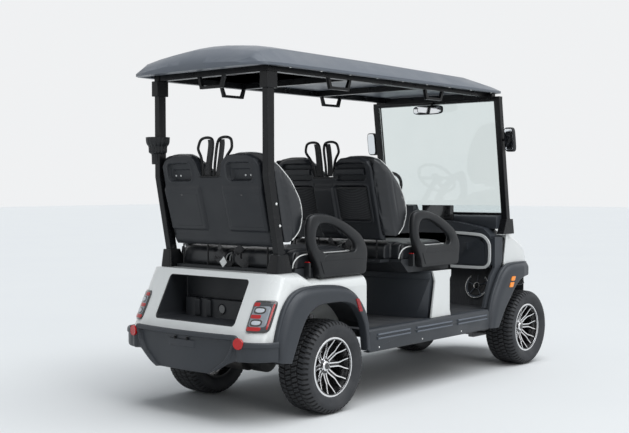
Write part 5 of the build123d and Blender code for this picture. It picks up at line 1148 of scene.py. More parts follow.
def make_hoops():
    """Guide hoops over the backs: a round bar along a smooth line, leaning back with its height, with
    a foot plate and belt webbing that hangs through. The lap belts lie below them."""
    for row, shift in ROWS:
        bars, belts, lap = Shape(), Shape(), Shape()
        line = spline(HOOP_LINE, 90)
        path = np.stack([rear(hoop_x(line[:, 1], row)) + shift, line[:, 0], line[:, 1]], 1)
        bars.add(both(outward(tube(path, 0.0092, 12, (1, 0, 0)))))
        low = (rear(-0.478) + shift, -0.11, 1.4955)
        bars.add(outward(brick(low, (rear(-0.442) + shift, 0.11, 1.5025))))
        z = np.array((1.735, 1.70, 1.62, 1.56, 1.506))
        x = rear(hoop_x(z, row)) + shift + (0.004, 0.012, 0.012, 0.008, 0.0)
        for y in (0.052, -0.052):
            belts.add(strip(spline(np.stack([x, np.full(5, y), z], 1), 30), 0.023, 0.001, (1, 0, 0)))
        build("guide_hoops_" + row, bars, "steel", replaces=["belt_hoops_" + row])
        build("shoulder_belts_" + row, belts, "webbing")
        for places in LAP_BELTS:
            path = spline([(rear(shift - d), y, z) for d, (y, z) in zip(LAP_BELT_X, places)], 30)
            lap.add(strip(path, 0.001, 0.022))
        for s in (1, -1):
            stalk = spline([(rear(shift - 0.245), s * 0.5165, 0.93), (rear(shift - 0.235), s * 0.5175, 0.985),
                            (rear(shift - 0.228), s * 0.5178, 1.03)], 12)
            lap.add(strip(stalk, 0.012, 0.0015, (0, 1, 0)))
        build("lap_belts_" + row, lap, "webbing")


# ---- Flares and bumper ----

ARCHES = {"rear": (REAR_AXLE_X,
                   [(-545, 96), (-540, 222), (-480, 390), (-403, 483), (-309, 520), (-200, 528), (-84, 526),
                    (74, 510), (180, 471), (258, 408), (325, 287), (345, 71)],
                   [(-432, 81), (-338, 269), (-269, 360), (-186, 402), (-88, 412), (90, 404), (200, 355),
                    (275, 240), (304, 71)],
                   [(-600, 600), (400, 600)], [(-600, 660), (400, 660)]),
          "front": (FRONT_AXLE_X,
                    [(-620, 54), (-590, 190), (-545, 300), (-480, 400), (-415, 478), (-330, 526), (-200, 538),
                     (0, 534), (200, 512), (345, 470)],
                    [(-500, 54), (-394, 193), (-314, 272), (-241, 345), (-150, 402), (-50, 420),
                     (170, 424), (300, 408), (345, 396)],
                    [(-800, 600), (-60, 600), (93, 546), (217, 472), (345, 394)],
                    [(-800, 660), (-120, 660), (-14, 638), (93, 574), (217, 496), (345, 418)])}
FLARE_PROFILE = [(0.0, 0.02), (0.0, 0.26), (0.012, 0.36), (0.04, 0.44), (0.075, 0.47), (0.10, 0.44),
                 (0.12, 0.47), (0.20, 0.72), (0.31, 0.92), (0.40, 0.98), (0.48, 1.0), (0.7, 1.0),
                 (0.87, 0.995), (0.95, 0.96), (0.99, 0.84), (1.0, 0.6), (1.0, 0.02)]


def make_flares():
    """Each flare runs between its outer and inner arch line. Across it, a share u of the way from
    one line to the other stands off the body by a share h of the flare's depth there; u and h
    follow one rounded profile, a shallow band and then the full face."""
    profile = np.array(FLARE_PROFILE)
    curve = evenly(np.concatenate([profile[:2], spline(profile[2:-2], 60), profile[-2:]]), 56)
    u, h = curve[None, :, 0], curve[None, :, 1]
    for end, (axle, outer, inner, side, edge) in ARCHES.items():
        lines = [evenly(spline(np.array(points) / 1000.0, 300), 150) for points in (outer, inner)]
        flat = lines[0][:, None, :] * (1 - u[..., None]) + lines[1][:, None, :] * u[..., None]
        low, high = (np.interp(flat[..., 0] * 1000, *np.array(line, float).T) / 1000 for line in (side, edge))
        y = low + 0.0004 + (high - low - 0.0008) * h
        grid = np.stack([axle + flat[..., 0], y, AXLE_Z + flat[..., 1]], -1)
        surface = outward(capped(np.swapaxes(grid, 0, 1)))
        build(end + "_flare_mouldings", Shape().add(both(surface)), "plastic", replaces=(end + "_flares",),
              sharp=45)


BOLT = [(0.0001, 0.0), (0.011, 0.0), (0.011, 0.006), (0.007, 0.0065), (0.0065, 0.009), (0.0001, 0.0095)]


def rib_y(z):
    """How far from the middle a curved rib of the bumper stands at a height."""
    return np.interp(z, (0.30, 0.34, 0.40, 0.46, 0.52, 0.56), (0.225, 0.29, 0.372, 0.41, 0.43, 0.436))


def make_bumper():
    """The rear bumper follows its plan line and is cut by its upper and lower edges. Its face sinks
    in by smooth steps: the middle panel between two curved ribs and under the ledge, the hollow
    outside each rib, and the low band of the wings."""
    t = np.linspace(0, 1, 80)
    near = np.stack([-0.706 - 0.039 * (1 - t ** 2), 0.471 * t], 1)
    corner = spline([(-0.706, 0.471), (-0.694, 0.535), (-0.664, 0.59), (-0.615, 0.636), (-0.5485, 0.656)], 60)
    half = evenly(np.concatenate([near, corner[1:]]), 140)
    line = np.concatenate([half[:0:-1] * (1, -1), half])
    along = np.gradient(line, axis=0)
    normal = np.stack([-along[:, 1], along[:, 0]], 1) / np.linalg.norm(along, axis=1)[:, None]
    y = np.abs(line[:, 1])
    top = np.interp(y, (0, 0.43, 0.446, 0.478, 0.49, 0.66), (0.5565, 0.5565, 0.555, 0.524, 0.5195, 0.5195))
    low = np.interp(y, (0, 0.235, 0.30, 0.38, 0.43, 0.66), (0.3065, 0.3065, 0.337, 0.380, 0.399, 0.4025))
    v = np.sort(np.concatenate([np.linspace(0, 1, 64), (0.005, 0.02, 0.98, 0.995)]))[None, :]
    z = low[:, None] + (top - low)[:, None] * v
    across = np.broadcast_to(y[:, None], z.shape)
    rib = rib_y(z)
    panel = step(rib - 0.010 - across, 0.014) * step(0.5245 - z, 0.010)
    hollow = step(across - rib - 0.012, 0.014) * step(0.452 - across, 0.02) * step(0.50 - z, 0.02)
    wing = step(across - 0.485, 0.03) * step(0.487 - z, 0.008)
    plate = step(0.115 - across, 0.006) * step(0.022 - np.abs(z - 0.478), 0.006)
    brim = np.minimum(top[:, None] - z, z - low[:, None])
    sunk = 0.024 * panel + 0.017 * hollow + 0.008 * wing - 0.006 * plate * panel
    sunk += 0.008 * np.exp(-brim / 0.005)
    face = np.stack([rear(line[:, 0, None] - normal[:, 0, None] * sunk),
                     line[:, 1, None] - normal[:, 1, None] * sunk, z], -1)
    back = face - np.stack([normal[:, 0], normal[:, 1], 0 * y], 1)[:, None, :] * 0.010
    shape = Shape().add(slab(face, back))
    for s in (1, -1):
        shape.add(outward(turned(BOLT, (rear(-0.7255), s * 0.055, 0.505), (-1, 0, 0), 6)), 1)
    build("bumper_moulding", shape, "plastic steel", replaces=("rear_bumper",), sharp=45)


# ---- Bodywork ----

PLAIN = {"inner": "arch_liners", "frame": "chassis_frame rear_axle knuckle_left knuckle_right",
         "steel": "steering_column", "spring_steel": "rear_suspension front_suspension tie_rods",
         "mat": "floor_pan", "glass": "windscreen", "black": "battery_pack"}
SOFT = (("rear_body", "paint", 5.0, 30), ("front_cowl", "paint", 4.0, 30),
        ("seat_pod_sides", "paint", 4.0, 30), ("glove_box_door", "plastic", 2.5, 40),
        ("dashboard", "plastic", 3.0, 40), ("seat_pod", "plastic", 2.5, 40),
        ("rocker_panels", "plastic", 2.5, 30),
        ("front_bumper", "plastic", 4.0, 30), ("cargo_box", "inner", 5.0, 30),
        ("rear_pillars", "steel", 6.0, 30), ("front_pillars", "steel", 5.0, 30),
        ("roof_frame", "steel", 4.0, 30), ("roof", "roof", 5.0, 40), ("pedals", "black", 3.0, 30),
        ("display", "gloss", 2.5, 30), ("steering_wheel", "black", 5.0, 40), ("grille", "black", 2.0, 30))
USUAL_EDGE = 0.004


def tail_edges(at):
    """The edges of the tail's top between its shoulders are rounded 5.5 times as wide."""
    return 1 + 4.5 * ((at[:, 2] > 0.9) & (np.abs(at[:, 1]) < 0.56) & (at[:, 0] < rear(-0.44)))


def hood_edges(at):
    """The edges of the hood are rounded four times as wide."""
    return 1 + 3.0 * ((at[:, 0] > front(-0.2)) & (at[:, 2] > 0.755))


BROAD = {"rear_body": tail_edges, "front_cowl": hood_edges}


def dress_nodes():
    """Gives every CAD node that still shows its finish."""
    for finish, nodes in PLAIN.items():
        for node in nodes.split():
            materials = frame["nodes"][node].data.materials
            materials.clear()
            materials.append(FINISHES[finish])


def make_panels(sizes):
    """Copies of the frame's mouldings with rounded edges. The table holds the widths in millimetres
    for the usual panel edge, and they grow with it."""
    scale = sizes.panel_edge / USUAL_EDGE
    for node, finish, width, angle in SOFT:
        softened(node, finish, width / 1000 * scale, angle, BROAD.get(node))


TRAY_FLOOR = {"rear": 0.8632, "front": 0.8302}


# ---- Under the seats ----

def make_trays():
    """Under each row: a tray cut from its side outline, narrower at the rear beside the pillars, slim
    round posts up to the shell, and buckles with a button. Under the rear row hangs a blank tag."""
    for row, shift in ROWS:
        floor = TRAY_FLOOR[row]
        middle = [(-0.372, 0.9052), (-0.27, 0.9052), (-0.18, floor), (0.33, floor), (0.33, 0.9254),
                  (-0.372, 0.9254)]
        side = [(-0.262, 0.9052)] + middle[2:5] + [(-0.262, 0.9254)]
        tray = Shape().add(outward(prism([(rear(x + shift), z) for x, z in middle], -0.424, 0.424)))
        tray.add(both(outward(prism([(rear(x + shift), z) for x, z in side], 0.4245, 0.527))))
        x = rear(shift - 0.35)
        for y in (0.15, 0.38):
            tray.add(both(outward(tube([(x, y, 0.925), (x, y, 1.0595)], 0.006, 12, (1, 0, 0)))), 1)
        build("seat_tray_" + row, tray, "inner steel", replaces=("seat_base_" + row,))
        clasps = Shape()
        for y in (-0.5475, 0.5475):
            clasps.add(outward(brick((rear(shift - 0.176), y - 0.021, 0.874),
                                     (rear(shift - 0.158), y + 0.021, 0.962))))
            clasps.add(outward(brick((rear(shift - 0.174), y - 0.018, 0.9615),
                                     (rear(shift - 0.160), y + 0.018, 0.9675))), 1)
        bevel(build("belt_buckles_" + row, clasps, "black red"), 0.0025, 2)
    t = np.linspace(-1, 1, 12)
    u, v = np.meshgrid(t * 0.026, t * 0.026, indexing="ij")
    bend = 0.004 * np.sin(u * 60) + 0.002 * np.cos(v * 70)
    card = np.stack([rear(-0.3865) + bend, -0.026 + (u - v) * 0.72, 0.956 + (u + v) * 0.66], -1)
    build("blank_tag", Shape().add(slab(card, card + (0.0012, 0, 0))), "piping")


DASH_LINE = [(-0.185, 1.068), (-0.30, 1.064), (-0.42, 1.058), (-0.475, 1.050), (-0.515, 1.026),
             (-0.540, 0.99), (-0.546, 0.95), (-0.546, 0.88), (-0.541, 0.84), (-0.52, 0.812), (-0.49, 0.8),
             (-0.40, 0.797), (-0.30, 0.797), (-0.19, 0.797)]
SCREEN_FOOT = [(2.075, 1.10), (2.072, 1.17), (2.085, 1.195), (2.13, 1.205), (2.17, 1.20), (2.178, 1.17),
               (2.178, 1.10)]


# ---- Dash, rocker and roof mouldings ----

def make_mouldings():
    """The broad white line round the glove box and the shelf, the strip at the windscreen's foot, the
    header strip over it, the long ribs of the rockers and the brackets at the pillars' heads."""
    line = spline(DASH_LINE, 110)
    path = np.concatenate([np.full((len(line), 1), rear(1.9955)), line], 1)
    wide, deep = 0.0115, 0.0045
    outline = [(-wide, -deep * 0.2), (-wide * 0.8, -deep), (wide * 0.8, -deep), (wide, -deep * 0.2),
               (wide, deep), (-wide, deep)]
    build("dash_trim_line", Shape().add(outward(swept(path, outline, (1, 0, 0)))), "paint",
          replaces=("dash_trim",), sharp=35)
    strips = Shape()
    foot = evenly(spline(SCREEN_FOOT, 60), 40)
    strips.add(outward(prism([(rear(x), z) for x, z in foot], -0.56, 0.56)))
    for s in (1, -1):
        strips.add(outward(brick((rear(-0.502), s * 0.49 - 0.030, 2.03),
                                 (rear(-0.408), s * 0.49 + 0.030, 2.1295))), 1)
        # The rocker ribs take the lightened roof plastic: painted highlights along them.
        for z in (0.43, 0.456):
            for x0, x1 in ((0.43, 0.80), (0.88, 1.32), (1.40, 1.80)):
                path = np.linspace((rear(x0), s * 0.6405, z), (rear(x1), s * 0.6405, z), 14)
                strips.add(outward(tube(path, 0.0065, 12)), 2)
    strips.add(outward(brick((front(-0.455), -0.56, 2.112), (front(-0.405), 0.56, 2.158))), 1)
    bevel(build("small_mouldings", strips, "plastic steel roof"), 0.003, 2, 50)


# ---- Small fittings ----

def plaque(outline, low, high, place, edge=0.0015, dish=0.0):
    """A low pad on a surface: rings of the outline drawn in towards its middle by a share, at a
    height that rises from low to high over the edge and sinks again by a dish at the middle."""
    middle = outline.mean(0)
    size = np.linalg.norm(outline - middle, axis=1).mean()
    share = 1 - np.array([0, 0, 0.3, 1.0, 4.0, 8.0, 12.0]) * min(edge, size / 13) / size
    share[-3:] = (0.7, 0.35, 0.04)
    height = np.array([low, high - edge, high - 0.3 * edge, high, high - dish * 0.5, high - dish * 0.85,
                       high - dish])
    flat = middle + (outline - middle)[:, None, :] * share[None, :, None]
    return outward(capped(place(flat[..., 0], flat[..., 1], np.broadcast_to(height, flat.shape[:2]))))


def oval(middle, half, power=4.0, count=28, lean=0.0):
    """A rounded outline: the two halves times the signed 2/power powers of cosine and sine."""
    a, b = superellipse(round_angles(count), power)
    return np.stack([middle[0] + half[0] * a + lean * half[1] * b, middle[1] + half[1] * b], 1)


def on_side(y):
    """Places a pad on an upright plane along the vehicle, its height measured outwards."""
    return lambda u, v, out: np.stack([u, np.full_like(u, y) + out * np.sign(y), v], -1)


def on_end(x, lean=0.0, z0=0.0):
    """Places a pad on a plane across the vehicle that leans with height, its own height rearwards."""
    return lambda u, v, out: np.stack([x + lean * (v - z0) - out, u, v], -1)


def on_tail(s):
    """Places a pad on the sloped tail: u runs across from the middle and on round the corner, where
    the point turns about the corner's centre by the run beyond it over the corner's radius."""
    start, radius, slope = 0.47, 0.13, 0.208 / 0.405

    def place(u, v, out):
        """The point of the tail at (u, v), a distance out from it."""
        tail = rear(-0.678) + (v - 0.5) * slope
        turn = np.maximum(u - start, 0.0) / radius
        x = tail + radius - (radius + out) * np.cos(turn)
        y = np.minimum(u, start) + (radius + out) * np.sin(turn)
        return np.stack([x, s * y, v], -1)
    return place


FLARE_SIDE_Y = 0.6604
REFLECTOR = [(0.0001, -0.004), (0.033, -0.004), (0.0345, 0.008), (0.033, 0.0105), (0.030, 0.0095),
             (0.0001, 0.0125)]
LAMP_BOWL = [(0.0001, -0.03), (0.062, -0.012), (0.067, 0.0), (0.0001, -0.028)]
LAMP_LENS = [(0.0001, -0.006), (0.05, -0.009), (0.063, -0.016), (0.0655, -0.012), (0.05, -0.004),
             (0.0001, 0.0)]


def make_lamps():
    """Tail lamps, reflectors, flare markers and headlamps."""
    shape = Shape()
    for s in (1, -1):
        place = on_tail(s)
        for middle, half, low, high, edge, finish in (
                ((0.541, 0.6635), (0.0755, 0.0925), 0.0005, 0.0085, 0.004, 0),
                ((0.539, 0.664), (0.0655, 0.081), 0.0075, 0.0095, 0.002, 4),
                ((0.531, 0.664), (0.052, 0.060), 0.0085, 0.0104, 0.002, 2)):
            shape.add(plaque(oval(middle, half, 7.0, 64, -0.02), low, high, place, edge), finish)
        for v, low, high in ((0.733, 0.474, 0.512), (0.664, 0.477, 0.540), (0.594, 0.474, 0.560)):
            block = oval(((low + high) / 2, v), ((high - low) / 2, 0.011), 6.0)
            shape.add(plaque(block, 0.009, 0.0115, place), 1)
        for v in (0.700, 0.629):
            shape.add(plaque(oval((0.522, v), (0.037, 0.021), 3.0), 0.0095, 0.0116, place, 0.003), 0)
            shape.add(plaque(oval((0.522, v), (0.027, 0.012), 2.6), 0.011, 0.0126, place, 0.002), 3)
        shape.add(plaque(oval((0.594, 0.664), (0.006, 0.074), 4.0), 0.009, 0.0112, place, 0.001), 1)
    build("tail_lamps", shape, "gloss red lamp_white lamp_clear smoke", replaces=("tail_lights",))

    discs, marks, front_lamps = Shape(), Shape(), Shape()
    for s in (1, -1):
        discs.add(turned(REFLECTOR, (rear(-0.704), s * 0.4725, 0.510), (-0.97, s * 0.2, 0.0), 40))
        place = on_side(s * FLARE_SIDE_Y)
        for k in range(4):
            z = 0.7065 - 0.0215 * k
            block = oval((rear(0.208) - 0.42 * (z - 0.675), z), (0.0165, 0.0105), 6.0, lean=-0.42)
            marks.add(plaque(block, -0.002, 0.0055, place, 0.001))
        for z, half in ((0.712, 0.017), (0.665, 0.019)):
            block = oval((rear(2.152) + (z - 0.69) * 0.5, z), (0.026, half), 6.0, lean=0.5)
            marks.add(plaque(block, -0.002, 0.006, place), 1)
        for finish, profile in enumerate((LAMP_BOWL, LAMP_LENS)):
            centre, axis = (front(0.475), s * 0.282, 0.68), (0.86, s * 0.5, 0.06)
            front_lamps.add(turned(profile, centre, axis, 40), finish)
    build("rear_reflectors", discs, "reflector", replaces=("reflectors",), sharp=30)
    build("flare_markers", marks, "marker amber")
    build("headlamp_details", front_lamps, "bowl lamp_white")
    softened("headlights", "gloss", 0.002)


def make_cargo():
    """Ribs and a round recess on the box at the cargo well's front wall."""
    shape = Shape()
    wall = rear(-0.4105)
    for y, half in ((0.180, 0.024), (0.075, 0.021)):
        shape.add(plaque(oval((y, 0.655), (half, 0.056), 7.0, 40), -0.004, 0.012, on_end(wall), 0.007))
    ring = [(0.027, -0.001), (0.0345, -0.001), (0.0345, 0.003), (0.032, 0.006), (0.027, 0.003)]
    disc = [(0.0001, -0.001), (0.0275, -0.001), (0.0275, 0.0008), (0.0001, 0.0008)]
    for finish, (profile, count) in enumerate(((ring, 40), (disc, 32))):
        shape.add(outward(turned(profile, (wall, -0.037, 0.657), (-1, 0, 0), count)), finish)
    build("cargo_ribs", shape, "inner gloss")


CUP_PROFILE = [(0.036, 1.587), (0.0405, 1.589), (0.0425, 1.645), (0.050, 1.655), (0.060, 1.664),
               (0.0625, 1.70), (0.071, 1.712), (0.0775, 1.73), (0.0795, 1.757), (0.0785, 1.763),
               (0.075, 1.757), (0.072, 1.73), (0.066, 1.72), (0.03, 1.716)]


def make_cup():
    """The ribbed cup round the left rear pillar: a turned profile whose radius shrinks by a raised
    cosine of the angle between its neck and its rim."""
    profile = spline(CUP_PROFILE, 60)
    outside = np.arange(60) < 38
    angle = round_angles(192)
    ribs = 0.0045 * (0.5 + 0.5 * np.cos(16 * angle))[:, None] ** 2
    band = (step(profile[:, 1] - 1.60, 0.02) * step(1.757 - profile[:, 1], 0.01) * outside)[None, :]
    radius = profile[None, :, 0] - ribs * band
    grid = np.stack([rear(-0.462) + radius * np.cos(angle)[:, None], 0.507 + radius * np.sin(angle)[:, None],
                     np.broadcast_to(profile[:, 1], radius.shape)], -1)
    build("ribbed_cup", Shape().add(outward(capped(grid))), "black", replaces=("pillar_cup",), sharp=50)


def make_mirrors():
    """The two side mirrors and the one under the header: a housing, its glass and an arm."""
    shape = Shape()
    lean = -0.14 / 1.035
    middle = front(-0.268 + lean * 0.735)
    for s in (1, -1):
        place = on_end(middle + 0.018, lean, 1.795)
        shape.add(plaque(oval((s * 0.667, 1.795), (0.042, 0.094), 5.0, 40), 0.0, 0.036, place, 0.012))
        shape.add(plaque(oval((s * 0.667, 1.795), (0.035, 0.086), 5.0, 40), 0.035, 0.0365, place, 0.0005), 1)
        shape.add(tube([(middle, s * 0.611, 1.795), (middle, s * 0.635, 1.795)], 0.011, 14), 2)
    place = on_end(front(-0.52))
    shape.add(plaque(oval((0.0, 2.0475), (0.139, 0.0365), 4.0, 48), -0.021, 0.0, place, 0.006))
    shape.add(plaque(oval((0.0, 2.0475), (0.132, 0.030), 4.0, 48), -0.001, 0.0006, place, 0.0005), 1)
    shape.add(tube([(front(-0.505), 0, 2.06), (front(-0.45), 0, 2.09), (front(-0.43), 0, 2.1)], 0.009, 12), 2)
    build("mirror_set", shape, "black mirror steel", replaces=("mirrors",), sharp=35)


SPEAKER_RING = [(0.0001, 0.0), (0.101, 0.0), (0.1015, 0.012), (0.098, 0.0175), (0.088, 0.0175),
                (0.084, 0.012), (0.0001, 0.011)]
SPEAKER_CONE = [(0.0001, 0.0105), (0.083, 0.0115), (0.078, 0.0145), (0.066, 0.0135), (0.03, 0.006),
                (0.022, 0.0125), (0.0001, 0.0155)]
SPEAKER_HOOPS = (([(0.022, 0.0135), (0.0265, 0.0135), (0.0265, 0.0185), (0.022, 0.0195)], 32),
                 ([(0.0975, 0.0165), (0.1015, 0.0165), (0.1015, 0.0185), (0.0975, 0.0185)], 64))


def make_speakers():
    """The two speakers on the sloped toe board: a ring, a cone, screws, five arms and bright hoops.
    A place on a speaker's face is the sine of its angle up the slope plus the cosine across."""
    speaker = Shape()
    foot, head = np.array([front(-0.41), 0.49]), np.array([front(-0.302), 0.80])
    slope = (head - foot) / np.linalg.norm(head - foot)
    up, out = np.array([slope[0], 0, slope[1]]), np.array([-slope[1], 0, slope[0]])
    centre = np.array([foot[0] + (0.64 - 0.49) * slope[0] / slope[1], 0.0, 0.64])
    for s in (1, -1):
        at = centre + np.array([0, s * 0.375, 0]) + out * 0.001
        face = at + out * 0.0175

        def ray(turn):
            """A direction on the speaker's face, as a unit vector."""
            return up * math.sin(turn) + np.array([0, 1, 0]) * math.cos(turn)

        speaker.add(turned(SPEAKER_RING, at, out, 64))
        speaker.add(turned(SPEAKER_CONE, at + out * 0.001, out, 48), 1)
        for k in range(4):
            speaker.add(dome(face + ray(math.pi * (k / 2 + 0.25)) * 0.0925, out, 0.0045, 0.0025, 12), 2)
        reach = np.array([0.024, 0.05, 0.085])[:, None]
        for k in range(5):
            speaker.add(outward(tube(face + ray(math.pi * (0.4 * k + 0.1)) * reach, 0.0038, 8, out)), 0)
        for profile, count in SPEAKER_HOOPS:
            speaker.add(outward(turned(profile, at, out, count)), 2)
    # The speaker rings and arms take the lightened roof plastic, so their lightness is painted sheen on the
    # charcoal.
    build("speaker_pair", speaker, "roof black zinc", replaces=("speakers",), sharp=35)


def make_fittings():
    """Mirrors, speakers and screws."""
    make_mirrors()
    make_speakers()
    screws = Shape()
    for s in (1, -1):
        for x, z in ((-0.4107, 1.33), (-0.379, 1.196)):
            screws.add(dome((rear(x), s * 0.5102, z), (0, s, 0), 0.0085, 0.0045, 14))
        for x in np.arange(-0.35, 2.0, 0.29):
            screws.add(dome((rear(x), s * 0.572, 2.1545), (0, 0, -1), 0.007, 0.0035, 12))
        for x in (0.45, 0.95, 1.45):
            screws.add(dome((rear(x), s * 0.6395, 0.372), (0, s, 0), 0.006, 0.003, 12))
    build("screws", screws, "piping", sharp=50)


# ---- Stage ----

CAMERA_PLACE = (-6.291, -4.836, 1.439)
CAMERA_ANGLES = (40.471, -1.656, -0.107)
SENSOR_WIDTH = 36.0


def make_stage(studio):
    """A pale floor, a soft sky, two broad lamps and the camera at the photograph's place. The sky's
    own light is dimmed, but the camera, reflections and glass see it at full brightness."""
    floor = Finish("floor", "stage_floor", (0.74, 0.74, 0.73), 0.85)
    floor.tinted(floor.noise(0.6), 0.4, 0.7, 0.3, (0.71, 0.71, 0.71))
    places = np.linspace(-60, 60, 13)
    grid = np.stack(np.meshgrid(places, places, [0.0], indexing="ij"), -1).reshape(13, 13, 3)
    points, faces = sheet(grid)
    mesh = bpy.data.meshes.new("ground")
    mesh.from_pydata(points.tolist(), [], faces[0].tolist())
    mesh.materials.append(FINISHES["floor"])
    piece = bpy.data.objects.new("ground", mesh)
    bpy.context.scene.collection.objects.link(piece)

    world = bpy.data.worlds.new("studio")
    world.use_nodes = True
    nodes, links = world.node_tree.nodes, world.node_tree.links
    lit = nodes["Background"]
    seen = nodes.new("ShaderNodeBackground")
    path = nodes.new("ShaderNodeLightPath")
    first = nodes.new("ShaderNodeMath")
    second = nodes.new("ShaderNodeMath")
    mix = nodes.new("ShaderNodeMixShader")
    seen.inputs["Color"].default_value = (0.87, 0.88, 0.89, 1)
    seen.inputs["Strength"].default_value = 1.0
    lit.inputs["Color"].default_value = (0.84, 0.92, 1.0, 1)
    lit.inputs["Strength"].default_value = studio.sky
    first.operation = second.operation = "ADD"
    second.use_clamp = True
    for source, target in ((path.outputs["Is Camera Ray"], first.inputs[0]),
                           (path.outputs["Is Glossy Ray"], first.inputs[1]),
                           (first.outputs[0], second.inputs[0]),
                           (path.outputs["Is Transmission Ray"], second.inputs[1]),
                           (second.outputs[0], mix.inputs[0]), (lit.outputs[0], mix.inputs[1]),
                           (seen.outputs[0], mix.inputs[2]),
                           (mix.outputs[0], nodes["World Output"].inputs["Surface"])):
        links.new(source, target)
    bpy.context.scene.world = world

    sun = bpy.data.lights.new("overhead", "SUN")
    sun.energy = studio.sun
    sun.angle = math.radians(60)
    sun.color = (0.93, 0.965, 1.0)
    side = bpy.data.lights.new("side", "AREA")
    side.shape, side.size, side.energy = "DISK", 4.0, studio.key
    for lamp, place, target in ((sun, (0.4, -3.2, 9.0), (0, 0, 0)),
                                (side, (-3.2, -8.0, 5.0), (-0.4, 0, 0.9))):
        lamp_object = bpy.data.objects.new(lamp.name, lamp)
        lamp_object.location = place
        lamp_object.rotation_euler = (Vector(target) - Vector(place)).to_track_quat("-Z", "Y").to_euler()
        bpy.context.scene.collection.objects.link(lamp_object)

    camera = bpy.data.cameras.new("photo_camera")
    camera.lens = studio.lens * 1000
    camera.sensor_width = SENSOR_WIDTH
    yaw, pitch, roll = (math.radians(angle) for angle in CAMERA_ANGLES)
    ahead = Vector((math.cos(pitch) * math.cos(yaw), math.cos(pitch) * math.sin(yaw), math.sin(pitch)))
    right = Vector((math.sin(yaw), -math.cos(yaw), 0))
    above = right.cross(ahead)
    right, above = (right * math.cos(roll) + above * math.sin(roll),
                    above * math.cos(roll) - right * math.sin(roll))
    turn = Matrix((right, above, -ahead)).transposed().to_4x4()
    view = bpy.data.objects.new("photo_camera", camera)
    view.matrix_world = Matrix.Translation(CAMERA_PLACE) @ turn
    bpy.context.scene.collection.objects.link(view)
    bpy.context.scene.camera = view
    bpy.context.scene.view_settings.view_transform = "Standard"


# ---- Settings, operators and panel ----

class VehicleLook(bpy.types.PropertyGroup):
    """The colours that an owner would choose."""
    paint: FloatVectorProperty(name="Body paint", description="Colour of the painted body panels",
                               subtype="COLOR", size=3, min=0, max=1, default=(0.745, 0.752, 0.735))
    plastic: FloatVectorProperty(name="Moulded plastic", description="Colour of the flares, bumpers and roof",
                                 subtype="COLOR", size=3, min=0, max=1, default=(0.034, 0.0385, 0.0455))
    vinyl: FloatVectorProperty(name="Seat vinyl", description="Colour of the cushions and seat backs",
                               subtype="COLOR", size=3, min=0, max=1, default=(0.0105, 0.0122, 0.0150))
    piping: FloatVectorProperty(name="Piping", description="Colour of the piping round the seat backs",
                                subtype="COLOR", size=3, min=0, max=1, default=(0.72, 0.72, 0.7))
    alloy: FloatVectorProperty(name="Wheel faces", description="Colour of the machined wheel faces",
                               subtype="COLOR", size=3, min=0, max=1, default=(0.86, 0.86, 0.87))


class VehicleSizes(bpy.types.PropertyGroup):
    """Counts and small sizes of the detailed pieces."""
    tread_pitches: IntProperty(name="Tread pitches", description="Repeats of the tread round each tyre",
                               default=54, min=24, max=90)
    spokes: IntProperty(name="Spokes", description="Forked spokes of each wheel", default=8, min=5, max=12)
    piping_radius: FloatProperty(name="Piping radius", description="Radius of the piping round the cushions",
                                 default=0.0042, min=0.001, max=0.01, unit="LENGTH")
    panel_edge: FloatProperty(name="Panel edge", description="Rounding of the painted panels' edges",
                              default=0.004, min=0.0005, max=0.02, unit="LENGTH")


class StudioSettings(bpy.types.PropertyGroup):
    """The camera and the lamps."""
    lens: FloatProperty(name="Focal length", description="Focal length of the camera",
                        default=0.060484, min=0.01, max=0.3, unit="LENGTH")
    sun: FloatProperty(name="Overhead light", description="Strength of the broad light from above",
                       default=2.7, min=0)
    key: FloatProperty(name="Side lamp", description="Power of the lamp beside the vehicle",
                       default=130.0, min=0, unit="POWER")
    sky: FloatProperty(name="Sky", description="Brightness of the soft light all round", default=0.33, min=0)


class VEHICLE_OT_finishes(bpy.types.Operator):
    """Mix every finish and put one on each part of the frame"""
    bl_idname = "vehicle.finishes"
    bl_label = "Finishes"

    def execute(self, context):
        make_finishes(context.scene.vehicle_look)
        dress_nodes()
        return {"FINISHED"}


class VEHICLE_OT_tyres(bpy.types.Operator):
    """Make the four tyres with their tread and ribbed shoulders"""
    bl_idname = "vehicle.tyres"
    bl_label = "Tyres"

    def execute(self, context):
        make_tyres(context.scene.vehicle_sizes)
        return {"FINISHED"}


class VEHICLE_OT_rims(bpy.types.Operator):
    """Make the four rims with forked spokes, nuts and caps"""
    bl_idname = "vehicle.rims"
    bl_label = "Rims"

    def execute(self, context):
        make_rims(context.scene.vehicle_sizes)
        return {"FINISHED"}


class VEHICLE_OT_seats(bpy.types.Operator):
    """Fill the cushions and seat backs and sew their piping"""
    bl_idname = "vehicle.seats"
    bl_label = "Seats"

    def execute(self, context):
        make_pads(context.scene.vehicle_sizes)
        return {"FINISHED"}


class VEHICLE_OT_shells(bpy.types.Operator):
    """Mould the shells behind both seat rows"""
    bl_idname = "vehicle.shells"
    bl_label = "Seat shells"

    def execute(self, context):
        make_shells()
        return {"FINISHED"}


class VEHICLE_OT_armrests(bpy.types.Operator):
    """Make the armrest loops beside the seats"""
    bl_idname = "vehicle.armrests"
    bl_label = "Armrests"

    def execute(self, context):
        make_armrests()
        return {"FINISHED"}


class VEHICLE_OT_hoops(bpy.types.Operator):
    """Make the guide hoops over the backs with their belts"""
    bl_idname = "vehicle.hoops"
    bl_label = "Hoops and belts"

    def execute(self, context):
        make_hoops()
        return {"FINISHED"}


class VEHICLE_OT_panels(bpy.types.Operator):
    """Round the edges of the body panels, mouldings, pillars and roof"""
    bl_idname = "vehicle.panels"
    bl_label = "Panels"

    def execute(self, context):
        make_panels(context.scene.vehicle_sizes)
        return {"FINISHED"}


